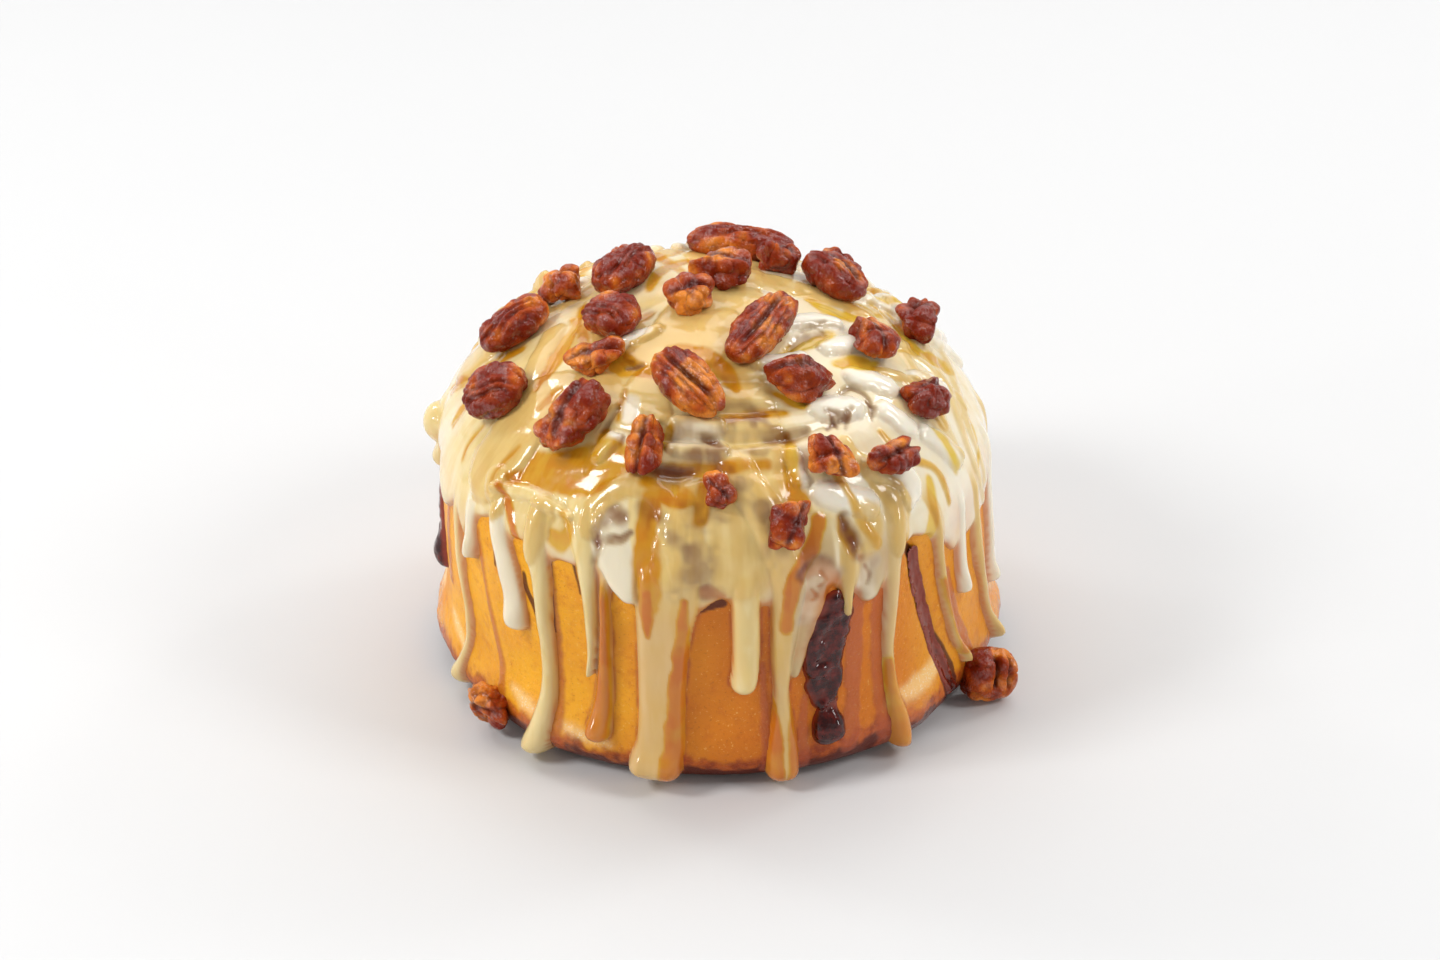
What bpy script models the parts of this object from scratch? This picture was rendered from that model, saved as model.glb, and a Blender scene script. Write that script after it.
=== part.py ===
"""Sticky bun: a tall roll under running icing, topped with glazed pecans."""
import math

import bpy
import numpy as np
from mathutils.geometry import delaunay_2d_cdt

# All sizes are in millimetres and turned into metres when a mesh is made.
MM = 0.001
CREASE_ANGLE = 38.0

# Spacing of surface points along the turns of the roll, and around its wall.
DOUGH_STEP = 7.2
ICING_STEP = 5.8
WALL_COLUMNS = 60
HEM_STEP = 4.0
FIRST_CREST_ARC = 6.0
FIRST_TROUGH_ARC = 8.0
CENTRE_RING = (2.5, 5)

# Dough: a spiral roll with a straight wall, a domed top and a rounded foot.
# Azimuth 0 is the front of the bun (-Y) and grows towards its right (+X).
# Arc is the distance walked from the top of the dome down the side.
WALL_RADIUS = 62.2
SHOULDER_HEIGHT = 51.0
DOME_HEIGHT = 91.0
DOME_IN_POWER = 1.5
DOME_OUT_POWER = 2.0
FOOT_RADIUS = 8.0
DOME_LEAN = 1.2
LEAN_FROM = 10.0
LEAN_TO = 50.0

# Foot bulges: azimuth, how far they stand out, and half-spread in degrees.
FOOT_BULGE_HEIGHT = 9.0
FOOT_BULGE_SPREAD = 7.0
FOOT_BULGES = (
    (-95, 2.6, 20), (-36, 2.0, 11), (-5, 0.6, 12), (27, 1.0, 9), (44, 2.0, 9),
    (95, 4.2, 18), (140, 1.8, 14), (176, 1.0, 12), (-148, 1.9, 16), (-120, 0.8, 10),
)

# Roll: the groove between two turns of the dough, wound out from the top.
TURN_PITCH = 7.7
TURN_PHASE = 0.3
GROOVE_HALF_WIDTH = 1.5
GROOVE_DEPTH = 1.3
OPEN_GROOVE_DEPTH = 1.1
OPEN_GROOVE_SPREAD = (30.0, 12.0)
OPEN_RISE = 0.8
OPEN_GROOVE_ARC = 43.0
DOME_ARC = 72.0
# A swelling high on the far side: azimuth, arc, radius and rise.
CROWN_SWELL = (-165, 30, 9.0, 1.6)

# Loose end of the outer turn: an upright seam down the right of the front.
SEAM = ((44, 74), (45.5, 80), (47, 87), (50, 100), (52.5, 109.5), (56.5, 119.5), (60.5, 128))
SEAM_DEPTH = 1.3
SEAM_HALF_WIDTH = 1.8
SEAM_SPREAD = 3.4

# Rings of surface points on the wall, by arc, and round the foot, by height.
WALL_ARCS = (83, 90, 97, 104, 111, 116.5)
FOOT_RING_HEIGHTS = (10.0, 6.5, 3.5, 1.4)

# Icing: a skin a little clear of the dough, with a scalloped hem and runs.
SKIN_GAP = 0.35
FOOT_SKIN_GAP = 0.8
FLOOR_GAP = 0.5
ICING_DEPTH = 1.7
ICING_EDGE = 0.5
ICING_EDGE_REACH = 3.0
GROOVE_FILL = 0.2
HEM = (
    (-180, 53), (-171, 48), (-162, 47), (-150, 54), (-138, 49), (-126, 55), (-114, 48),
    (-102, 53), (-92, 52), (-83, 54), (-74, 46), (-66, 52), (-61, 46), (-56, 54), (-51, 56),
    (-44, 54), (-39, 56), (-33, 53.5), (-28, 54), (-24, 56), (-20, 51), (-17, 49), (-13, 47),
    (-6, 46.5), (-1, 47.5), (2, 49.5), (6, 49.5), (11, 48), (16, 50), (21, 48), (27, 50),
    (32, 45), (37, 46), (41, 52), (45, 54), (50, 52), (54, 49), (60, 43), (66, 43), (74, 44),
    (82, 46), (90, 50), (102, 46), (112, 52), (121, 47), (133, 54), (146, 49), (158, 55),
    (169, 48), (180, 53),
)

# Runs of icing and caramel: depth, then azimuth, arc and half-width at each
# knot from the top down. The last knot is the tip, rounded over tip_reach.
RUNS = (
    (1.7, 2.2, ((-58, 68, 2.2), (-58, 80, 1.8), (-57.5, 87.5, 1.4))),
    (2.1, 3.0, ((-49.5, 66, 2.6), (-48.5, 74, 2.5), (-45.5, 82, 3.0), (-44, 92, 3.1),
        (-43.5, 99.5, 2.9))),
    (2.6, 1.8, ((-39, 62, 2.6), (-37.5, 74, 3.0), (-35.5, 83, 2.4), (-35.5, 93, 1.9), (-35.5, 104, 1.9),
        (-36, 114, 2.2), (-37, 121.5, 2.7), (-39.5, 129.2, 3.3))),
    (2.1, 6.0, ((-30, 58, 3.2), (-28.5, 67, 3.0), (-25.5, 75, 2.3), (-24.5, 84, 1.7),
        (-24.5, 94.5, 1.3), (-25, 104, 1.1))),
    (1.9, 2.6, ((-21.3, 76, 1.0), (-21.3, 89, 1.1), (-22, 99, 1.5), (-23, 110, 2.2), (-24, 117, 3.0),
        (-24.5, 121, 2.8))),
    (1.9, 4.0, ((-22, 58, 3.2), (-21, 68, 4.4), (-18, 75.5, 4.4), (-15.8, 81, 3.2),
        (-14.8, 84.5, 2.4))),
    (2.8, 2.4, ((-8, 70, 6.5), (-8.4, 81, 7.0), (-9.5, 91, 5.9), (-10.5, 104.5, 5.2), (-11, 118, 5.3),
        (-12, 124, 6.0), (-12.6, 129.5, 6.4))),
    (2.4, 3.0, ((7, 72, 3.0), (7, 91, 3.0), (6.5, 99, 2.9), (6, 104.7, 2.8))),
    (2.5, 2.0, ((4, 46, 4.0), (8, 56, 4.5), (13, 66, 4.4), (15.5, 77.5, 4.1), (15, 87, 3.3),
        (14, 97, 2.4), (13.5, 105, 1.7), (13.5, 112.5, 2.4), (13.5, 121, 3.4), (13.8, 129.5, 3.6))),
    (0.9, 6.0, ((21.5, 66, 4.0), (21, 77, 4.3), (19, 88, 3.6), (17, 97, 2.2), (16.3, 102, 1.6))),
    (1.7, 5.0, ((30, 66, 3.0), (28.5, 76, 2.7), (28, 83, 1.6), (27.5, 88.5, 1.2))),
    (1.0, 3.0, ((34, 70, 4.5), (34, 80, 4.0), (33.5, 87.5, 3.0))),
    (2.0, 2.0, ((43, 60, 3.4), (40.5, 72, 3.0), (39.5, 79.5, 2.3), (39, 89, 1.8), (38, 99.5, 1.5),
        (38, 110, 1.5), (39, 118.5, 2.1), (40, 125.5, 2.3), (41, 129, 2.1))),
    (1.4, 2.0, ((50, 66, 2.2), (53, 76, 1.6), (55, 90, 1.2), (56.5, 100.5, 1.1), (59, 109.5, 1.1),
        (62, 115, 1.1), (62.6, 118, 1.1))),
    (1.6, 2.4, ((62, 70, 2.2), (63.5, 81.5, 1.9), (63.5, 92, 1.8), (63, 100, 1.7))),
    (1.6, 2.0, ((70, 70, 2.0), (71.5, 86, 1.5), (72.5, 97.5, 1.4), (77, 111, 1.3), (80, 123, 1.4))),
    (1.8, 2.4, ((86, 66, 3.0), (86, 84, 2.6), (87, 100, 2.0), (89, 114, 2.0))),
    (1.3, 2.2, ((-66, 72, 1.4), (-64.5, 86.5, 1.1), (-63.5, 97, 1.0), (-62.5, 107, 1.0),
        (-64.5, 116.5, 1.2), (-68, 125, 2.0), (-69, 129, 2.4))),
    (1.8, 2.6, ((99, 66, 3.0), (98, 86, 2.5), (98.5, 100, 2.0), (98, 108, 2.5))),
    (1.6, 4.0, ((109, 70, 2.4), (108, 84, 2.2), (108, 96, 1.8))),
    (2.5, 2.0, ((117, 64, 3.4), (116, 80, 3.2), (115, 96, 2.2), (115.5, 110, 2.2), (116, 121, 3.2),
        (116, 129.4, 3.6))),
    (2.0, 3.0, ((128, 66, 3.4), (127, 82, 3.3), (127, 92, 3.0))),
    (2.0, 2.8, ((138, 68, 3.0), (137, 84, 2.0), (137, 100, 1.4), (137.5, 110, 1.9), (137.5, 118, 2.8))),
    (2.1, 3.0, ((149, 66, 3.4), (148, 84, 3.0), (147.5, 102, 2.8))),
    (1.3, 5.0, ((158, 68, 4.4), (157, 80, 4.0), (157, 90, 3.0))),
    (2.8, 2.4, ((168, 64, 5.2), (166, 80, 5.0), (166, 98, 4.2), (167, 116, 4.4), (168, 129.5, 5.2))),
    (1.8, 2.4, ((-181, 68, 2.8), (-182, 84, 2.0), (-182, 98, 1.6), (-182, 110, 2.3))),
    (2.0, 3.0, ((-171, 68, 3.2), (-172, 82, 3.0), (-172, 95, 2.9))),
    (1.9, 2.6, ((-160, 66, 2.6), (-161, 84, 2.0), (-161, 104, 1.7), (-161, 121, 2.7))),
    (2.2, 3.2, ((-149, 66, 3.8), (-150, 84, 3.4), (-150, 104, 3.2))),
    (1.5, 5.0, ((-139, 68, 2.4), (-139, 80, 1.8), (-139, 90, 1.4))),
    (2.4, 2.0, ((-128, 64, 3.6), (-129, 82, 2.8), (-129, 102, 2.1), (-128, 118, 2.8),
        (-127, 129.2, 3.2))),
    (2.0, 2.8, ((-117, 68, 3.0), (-117, 84, 2.6), (-117, 99, 2.7))),
    (1.6, 2.2, ((-109, 68, 2.2), (-109, 84, 1.5), (-109.5, 100, 1.3), (-109, 112, 1.9))),
    (1.9, 3.0, ((-99, 66, 3.6), (-99, 78, 4.4), (-99.5, 84, 3.6), (-100, 90.5, 2.6))),
)
BULB_SWELL = 0.55
RUN_FADE = 8.0
RUN_EDGE = 0.45
RUN_STEP = 6.6
FOOT_ARC = 119.0
FOOT_STEP = 3.2
WIDE_RUN = 2.9
BROAD_RUN = 4.3
LOW_TROUGH_ARC = 54.0
NET_CLEARANCE = 2.1

# Lump of icing over a buried nut at the left shoulder: azimuth, arc, radius, rise.
ICED_LUMP = (-99, 77.8, 4.2, 3.0)

# Cinnamon filling that has run out of the roll, knots as for the icing runs.
CINNAMON_DEPTH = 1.4
CINNAMON = {
    "cinnamon_run_front": (2.4, ((26.8, 91, 3.6), (24.6, 96, 4.6), (22.9, 102, 4.6), (22.8, 109, 3.6),
                                 (23.1, 114.5, 3.2), (23, 120.5, 3.0))),
    "cinnamon_run_right": (1.5, ((46.2, 81.5, 1.1), (47, 87, 1.3), (50, 100, 1.4), (52.5, 109.5, 1.6),
                                 (56.5, 119.5, 1.8), (59.4, 125, 1.6))),
    "cinnamon_run_left": (2.4, ((-84, 82.5, 1.6), (-84.5, 92, 2.0), (-85, 99, 3.2), (-85, 106, 3.0))),
}

# Pecans on the icing: azimuth, arc, length, width, height, heading and seed.
# Heading turns the long side from downhill towards growing azimuth.
HALF, WHOLE_BACK, CHUNK, RIDGED = "half", "whole back", "chunk", "ridged"
NUT_GAP = 0.55
NUT_SINK = 0.14
NUT_LONG = 13.9
LONG_GRID = (10, 8)
SHORT_GRID = (10, 6)
PECANS = (
    (HALF, 167, 30, 25, 13, 9, 92, 1), (CHUNK, 141, 22.5, 11.5, 7.5, 8, 129, 2),
    (CHUNK, 145, 3.8, 14, 12, 9, 114, 3), (CHUNK, -37, 8.4, 13, 9, 7.5, 142, 4),
    (WHOLE_BACK, -118, 21.2, 18.5, 11.5, 9, 84, 5), (HALF, 115.5, 30.3, 17.5, 12, 9, 102, 6),
    (WHOLE_BACK, -93, 44.2, 17.5, 11.5, 8.5, 23, 7), (CHUNK, -109, 35.3, 11, 8.5, 8, 17, 8),
    (WHOLE_BACK, -67, 22.9, 14, 11.5, 8.5, 117, 9), (CHUNK, -49.6, 33.5, 13, 8, 6.5, 140, 10),
    (HALF, 32, 20.2, 25, 10.4, 8.5, 119, 11), (HALF, -8, 34.2, 21, 11, 8.5, 44, 12),
    (CHUNK, 34, 35, 17, 12.5, 8, 68, 13), (CHUNK, 74, 37, 12.5, 11, 8.5, 120, 14),
    (CHUNK, 101, 48, 12, 10, 8, 136, 15), (CHUNK, 67.5, 53, 13.5, 10, 7.5, 70, 16),
    (WHOLE_BACK, -69, 52.5, 15.5, 13.5, 9.5, 144, 17), (CHUNK, -40.5, 48.8, 20, 13, 9.5, 8, 18),
    (CHUNK, -16.7, 50.4, 14, 9.5, 7.5, 0, 19), (CHUNK, 29, 54.8, 13.5, 9.5, 8, 12, 20),
    (CHUNK, 43.6, 59, 12, 8.5, 7.5, 84, 21), (CHUNK, 1.7, 58.6, 8.5, 7, 5, 38, 22),
    (CHUNK, 16.1, 65.4, 13.5, 10.5, 6.5, 150, 23), (CHUNK, 134, 77, 11, 8.5, 6.5, 30, 26),
    (HALF, 150, 71, 19, 11, 7.5, 70, 27), (CHUNK, 169, 77, 11, 9, 7, 110, 28),
    (CHUNK, 179, 65.5, 9, 7.5, 5, 20, 29), (HALF, -167, 73, 20, 11, 7.5, 115, 30),
    (CHUNK, -151, 67, 10, 8, 5.5, 60, 31), (CHUNK, -146, 80, 12, 9, 7, 100, 32),
    (CHUNK, -132, 76, 11, 9, 6.5, 50, 33), (CHUNK, 160, 61, 8, 6.5, 4.5, 15, 34),
    (CHUNK, 164, 47, 12, 9.5, 7, 60, 35), (CHUNK, 141, 48, 11, 9, 7, 120, 36),
    (CHUNK, 179, 53, 10, 8, 5.5, 140, 37),
)

# Pecans stuck to the foot: azimuth, the way they face, radius and height of the
# middle, then as above.
FOOT_PECANS = (
    (CHUNK, -51.8, -51.8, 64.6, 7.3, 13, 10.5, 9, 80, 24),
    (RIDGED, 67.6, 20, 67.4, 6.6, 12.4, 11.6, 9.5, 82, 25),
)

# Shape of a nut: how deep its clefts are and where a broken piece is snapped.
CLEFT_DEPTH = 0.34
BACK_CLEFT_DEPTH = 0.12
CHIP_COUNT = 7
CHIP_NEAREST = 0.6
CHIP_FARTHEST = 0.9
KNOBS = (0.24, 0.2, 0.16, -0.26, -0.2)
SQUARENESS = 2.4
BOXY_SQUARENESS = 3.4
# Grooves of the boxy nut along its length, and how far down its face they run.
RIDGES = (0.02, 0.6)
RIDGE_HALF_WIDTH = 0.12
RIDGE_FOOT = (-0.5, -0.1)


def profile():
    """Radius, height and arc of points from the top of the dome to the base."""
    inward = np.sin(np.linspace(0, math.pi / 2, 80))
    rise = (1 - inward**DOME_IN_POWER) ** (1 / DOME_OUT_POWER)
    wall = np.linspace(SHOULDER_HEIGHT, FOOT_RADIUS, 30)[1:]
    turn = np.linspace(0, math.pi / 2, 20)[1:]
    radius = np.concatenate([
        WALL_RADIUS * inward,
        np.full(wall.size, WALL_RADIUS),
        WALL_RADIUS - FOOT_RADIUS * (1 - np.cos(turn)),
    ])
    height = np.concatenate([
        SHOULDER_HEIGHT + (DOME_HEIGHT - SHOULDER_HEIGHT) * rise,
        wall,
        FOOT_RADIUS * (1 - np.sin(turn)),
    ])
    steps = np.hypot(np.diff(radius), np.diff(height))
    return radius, height, np.concatenate([[0], np.cumsum(steps)])


RADIUS, HEIGHT, ARC = profile()
BASE_ARC = float(ARC[-1])


def smooth_step(value, low, high):
    """0 below low, 1 above high and an even ease between them."""
    t = np.clip((value - low) / (high - low), 0, 1)
    return t * t * (3 - 2 * t)


def turned(azimuth, towards):
    """Azimuth measured from another one, between -180 and 180 degrees."""
    return (azimuth - towards + 180) % 360 - 180


def arc_at_height(height):
    """Arc at which the profile comes down to a height."""
    return np.interp(-np.asarray(height, float), -HEIGHT, ARC)


def outward(arc):
    """The outward direction of the profile, as its radial and upward parts."""
    before = np.clip(arc - 0.6, 0, BASE_ARC)
    after = np.clip(arc + 0.6, 0, BASE_ARC)
    along = np.interp(after, ARC, RADIUS) - np.interp(before, ARC, RADIUS)
    upward = np.interp(after, ARC, HEIGHT) - np.interp(before, ARC, HEIGHT)
    size = np.hypot(along, upward)
    return -upward / size, along / size


def open_front(azimuth, arc):
    """Share of the openness of the roll, which shows most high on the front."""
    around, down = OPEN_GROOVE_SPREAD
    return np.exp(-((turned(azimuth, 5) / around) ** 2) - ((arc - OPEN_GROOVE_ARC) / down) ** 2)


def groove(azimuth, arc):
    """How deep the spiral groove between the turns is."""
    from_groove = (arc - TURN_PHASE - TURN_PITCH * azimuth / 360) % TURN_PITCH
    from_groove = np.minimum(from_groove, TURN_PITCH - from_groove)
    shape = np.exp(-(from_groove / GROOVE_HALF_WIDTH) ** 2)
    fade = smooth_step(arc, 3, 9) * (1 - smooth_step(arc, DOME_ARC - 8, DOME_ARC))
    return (GROOVE_DEPTH + OPEN_GROOVE_DEPTH * open_front(azimuth, arc)) * shape * fade


def seam_azimuth(arc):
    """Where the upright seam runs at each arc."""
    knots = np.array(SEAM, float)
    return np.interp(arc, knots[:, 1], knots[:, 0])


def seam(azimuth, arc):
    """How deep the upright seam is where the outer turn ends."""
    across = np.radians(turned(azimuth, seam_azimuth(arc))) * WALL_RADIUS
    fade = smooth_step(arc, 72, 80) * (1 - smooth_step(arc, BASE_ARC - 9, BASE_ARC - 2))
    return SEAM_DEPTH * fade * np.exp(-(across / SEAM_HALF_WIDTH) ** 2)


def foot_bulge(azimuth, height):
    """How far the dough swells out just over its base."""
    total = np.full(np.shape(azimuth), 0.6)
    for centre, reach, spread in FOOT_BULGES:
        total = total + reach * np.exp(-(turned(azimuth, centre) / spread) ** 2)
    return total * np.exp(-((height - FOOT_BULGE_HEIGHT) / FOOT_BULGE_SPREAD) ** 2)


def waves(azimuth, arc):
    """Gentle unevenness of the whole bun."""
    turn = np.radians(azimuth)
    wide = 0.5 * np.sin(2 * turn + 0.6) + 0.35 * np.sin(3 * turn + 2.1)
    along = 0.3 * np.sin(5 * turn + arc / 14) + 0.25 * np.sin(arc / 9 + 2 * turn)
    centre, swell_arc, radius, rise = CROWN_SWELL
    away = np.hypot(np.radians(turned(azimuth, centre)) * swell_arc, arc - swell_arc)
    swell = rise * np.exp(-(away / radius) ** 2)
    return (wide + along) * smooth_step(arc, 4, 24) * (1 - smooth_step(arc, 110, 128)) + swell


def lift_direction(arc):
    """Direction in which toppings rise: outward, but never far below level."""
    radial, upward = outward(arc)
    upward = np.maximum(upward, -0.1)
    size = np.hypot(radial, upward)
    return np.where(size > 0.3, radial / size, radial), np.where(size > 0.3, upward / size, upward)


def place(azimuth, arc, lift=0.0, filled=False):
    """Points of the dough's surface, raised by lift, with its grooves filled or not."""
    azimuth = np.asarray(azimuth, float)
    arc = np.asarray(arc, float)
    radial, upward = outward(arc)
    sink = waves(azimuth, arc)
    if not filled:
        sink = sink - groove(azimuth, arc) - seam(azimuth, arc)
    height = np.interp(arc, ARC, HEIGHT) + upward * sink
    radius = np.interp(arc, ARC, RADIUS) + radial * sink + foot_bulge(azimuth, height)
    lift_out, lift_up = lift_direction(arc)
    radius = radius + lift_out * lift
    height = height + lift_up * lift
    turn = np.radians(azimuth)
    lean = -DOME_LEAN * smooth_step(height, LEAN_FROM, LEAN_TO)
    return np.stack([radius * np.sin(turn) + lean, -radius * np.cos(turn), height], -1)


def flat(azimuth, arc):
    """Where a surface point lies in the plan that is wrapped on the dough.

    The plan widens down the wall so that small shapes keep their proportions.
    """
    turn = np.radians(azimuth)
    arc = np.asarray(arc, float)
    reach = np.where(arc < DOME_ARC, arc, DOME_ARC * np.exp((arc - DOME_ARC) / WALL_RADIUS))
    return np.stack([reach * np.sin(turn), -reach * np.cos(turn)], -1)


def unflat(points):
    """Azimuth and arc of points of the plan."""
    points = np.asarray(points, float)
    azimuth = np.degrees(np.arctan2(points[:, 0], -points[:, 1]))
    reach = np.hypot(points[:, 0], points[:, 1])
    widened = DOME_ARC + WALL_RADIUS * np.log(np.maximum(reach, DOME_ARC) / DOME_ARC)
    return azimuth, np.where(reach < DOME_ARC, reach, widened)


def hem_arc(azimuth):
    """Arc of the icing's hem between its runs."""
    knots = np.array(HEM, float)
    return arc_at_height(np.interp(turned(azimuth, 0), knots[:, 0], knots[:, 1]))


def run_shape(knots, arc):
    """Middle azimuth and half-width of a run at each arc."""
    knots = np.array(knots, float)
    return np.interp(arc, knots[:, 1], knots[:, 0]), np.interp(arc, knots[:, 1], knots[:, 2])


def run_depth(depth, tip_reach, knots, azimuth, arc):
    """Depth of one run over the dough, falling to nothing at its edge."""
    top, tip = knots[0][1], knots[-1][1]
    middle, half = run_shape(knots, arc)
    rounding = np.clip((arc - (tip - tip_reach)) / tip_reach, 0, 1)
    half = half * np.sqrt(np.clip(1 - rounding**2, 0.0001, 1))
    radius = np.maximum(np.interp(arc, ARC, RADIUS), 1)
    across = np.radians(turned(azimuth, middle)) * radius / half
    swell = 1 + BULB_SWELL * np.exp(-((tip - tip_reach - arc) / 5) ** 2)
    inside = (np.abs(across) <= 1.001) & (arc >= top - 0.01) & (arc <= tip + 0.01)
    crown = RUN_EDGE + (1 - RUN_EDGE) * np.sqrt(np.clip(1 - across**2, 0, 1))
    return np.where(inside, depth * swell * crown * smooth_step(arc, top - 1, top + RUN_FADE), 0)


def icing_depth(azimuth, arc):
    """Depth of the icing over its underside."""
    to_hem = np.clip(hem_arc(azimuth) - arc, 0, None)
    edge = np.clip(to_hem / ICING_EDGE_REACH, 0, 1)
    cap = ICING_EDGE + (ICING_DEPTH - ICING_EDGE) * np.sqrt(1 - (1 - edge) ** 2)
    cap = cap + OPEN_RISE * open_front(azimuth, arc) - (1 - GROOVE_FILL) * groove(azimuth, arc)
    depth = np.where(to_hem > 0, cap, 0)
    for run_thickness, tip_reach, knots in RUNS:
        depth = np.maximum(depth, run_depth(run_thickness, tip_reach, knots, azimuth, arc))
    centre, lump_arc, radius, rise = ICED_LUMP
    away = np.hypot(np.radians(turned(azimuth, centre)) * WALL_RADIUS, arc - lump_arc)
    return np.maximum(depth, ICING_EDGE) + rise * np.exp(-(away / radius) ** 2 * 2)


def run_steps(top, tip):
    """Arcs along a run, closer together where the foot turns under."""
    wall_tip = min(tip, FOOT_ARC)
    arcs = np.linspace(top, wall_tip, max(2, round((wall_tip - top) / RUN_STEP) + 1))
    if tip > FOOT_ARC:
        under = np.linspace(FOOT_ARC, tip, max(2, round((tip - FOOT_ARC) / FOOT_STEP) + 1))
        arcs = np.concatenate([arcs, under[1:]])
    return arcs


def run_outline(tip_reach, knots):
    """Outline of a run in the wrapped plan, down one side and up the other."""
    top, tip = knots[0][1], knots[-1][1]
    body = run_steps(top, tip - tip_reach)
    turn = np.radians([0, 35, 65]) if knots[-1][2] > 1.2 else np.radians([0, 50])
    arcs = np.concatenate([body[:-1], tip - tip_reach + tip_reach * np.sin(turn)])
    middle, half = run_shape(knots, arcs)
    half = half * np.concatenate([np.ones(body.size - 1), np.cos(turn)])
    spread = np.degrees(half / np.interp(arcs, ARC, RADIUS))
    left = flat(middle - spread, arcs)
    right = flat(middle + spread, arcs)[::-1]
    end = flat(np.array([float(knots[-1][0])]), np.array([float(tip)]))
    return np.concatenate([left, end, right])


def run_middle(tip_reach, knots):
    """Points along the crown of a run, in three lines where it is broad."""
    arcs = run_steps(knots[0][1], knots[-1][1] - tip_reach)[1:]
    middle, half = run_shape(knots, arcs)
    lines = [flat(middle, arcs)]
    if max(half) > BROAD_RUN:
        spread = np.degrees(0.55 * half / np.interp(arcs, ARC, RADIUS))
        lines.extend([flat(middle - spread, arcs), flat(middle + spread, arcs)])
    return np.concatenate(lines)


def spiral_points(shift, spacing, first_arc):
    """Points along the spiral of the roll, shift of 0 being the groove."""
    points = []
    arc = first_arc
    turn_start = 360 * (first_arc - TURN_PHASE - shift) / TURN_PITCH
    azimuth = turn_start
    while arc < DOME_ARC:
        points.append((turned(azimuth, 0), arc))
        radius = max(np.interp(arc, ARC, RADIUS), 1)
        azimuth += math.degrees(spacing / radius)
        arc = TURN_PHASE + shift + TURN_PITCH * azimuth / 360
    return np.array(points)


def ring(arc, count, offset=0.0):
    """Evenly spaced points at one arc, turned by a share of their spacing."""
    azimuth = (np.arange(count) + offset) * 360 / count - 180
    return np.stack([azimuth, np.full(count, float(arc))], -1)


def mesh_object(name, vertices, faces, finish):
    """A named node from points in millimetres, smooth but for its creases."""
    mesh = bpy.data.meshes.new(name)
    mesh.from_pydata((np.asarray(vertices) * MM).tolist(), [], faces)
    mesh.validate()
    mesh.materials.append(finish)
    mesh.shade_smooth()
    mesh.set_sharp_from_angle(angle=math.radians(CREASE_ANGLE))
    built = bpy.data.objects.new(name, mesh)
    bpy.context.scene.collection.objects.link(built)
    return built


def material(name, colour, roughness, coat=0.0):
    """A plain finish named after what it is."""
    made = bpy.data.materials.new(name)
    made.use_nodes = True
    shader = made.node_tree.nodes["Principled BSDF"]
    shader.inputs["Base Color"].default_value = (*colour, 1)
    shader.inputs["Roughness"].default_value = roughness
    shader.inputs["Coat Weight"].default_value = coat
    return made


def triangulate(outlines, points):
    """Triangles inside the union of the outlines that use all the points."""
    coords = []
    faces = []
    for outline in outlines:
        faces.append(list(range(len(coords), len(coords) + len(outline))))
        coords.extend(outline.tolist())
    coords.extend(np.asarray(points).tolist())
    made = delaunay_2d_cdt(coords, [], faces, 1, 0.02)
    net = np.array([tuple(v) for v in made[0]])
    used = []
    for triangle in made[2]:
        used.append(tuple(triangle))
    return net, used


def border(triangles):
    """Directed edges that only one triangle has."""
    edges = set()
    for a, b, c in triangles:
        edges.update([(a, b), (b, c), (c, a)])
    return [edge for edge in edges if (edge[1], edge[0]) not in edges]


def away_from(points, others, distance):
    """The net points that lie at least a distance from all the others."""
    near = place(*unflat(others))
    here = place(*unflat(points))
    gaps = np.linalg.norm(here[:, None] - near[None], axis=-1).min(axis=1)
    return points[gaps > distance]


def skin_gap(arc):
    """Clearance between the dough and what is wrapped on it."""
    return SKIN_GAP + (FOOT_SKIN_GAP - SKIN_GAP) * smooth_step(arc, 104, 114)


def sheet(name, outlines, over_points, under_points, depth, filled, finish):
    """A closed skin over the dough, as deep as depth says."""
    over, over_faces = triangulate(outlines, over_points)
    under, under_faces = triangulate(outlines, under_points)
    azimuth, arc = unflat(over)
    outer = place(azimuth, arc, skin_gap(arc) + depth(azimuth, arc), filled)
    outer[:, 2] = np.maximum(outer[:, 2], FLOOR_GAP)
    azimuth, arc = unflat(under)
    inner = place(azimuth, arc, skin_gap(arc), filled)
    inner[:, 2] = np.maximum(inner[:, 2], FLOOR_GAP)
    match = {tuple(np.round(point, 2)): index for index, point in enumerate(under)}
    faces = list(over_faces)
    shift = len(over)
    faces.extend((c + shift, b + shift, a + shift) for a, b, c in under_faces)
    for a, b in border(over_faces):
        below_a = match[tuple(np.round(over[a], 2))] + shift
        below_b = match[tuple(np.round(over[b], 2))] + shift
        faces.append((b, a, below_a, below_b))
    return mesh_object(name, np.concatenate([outer, inner]), faces, finish)


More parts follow.
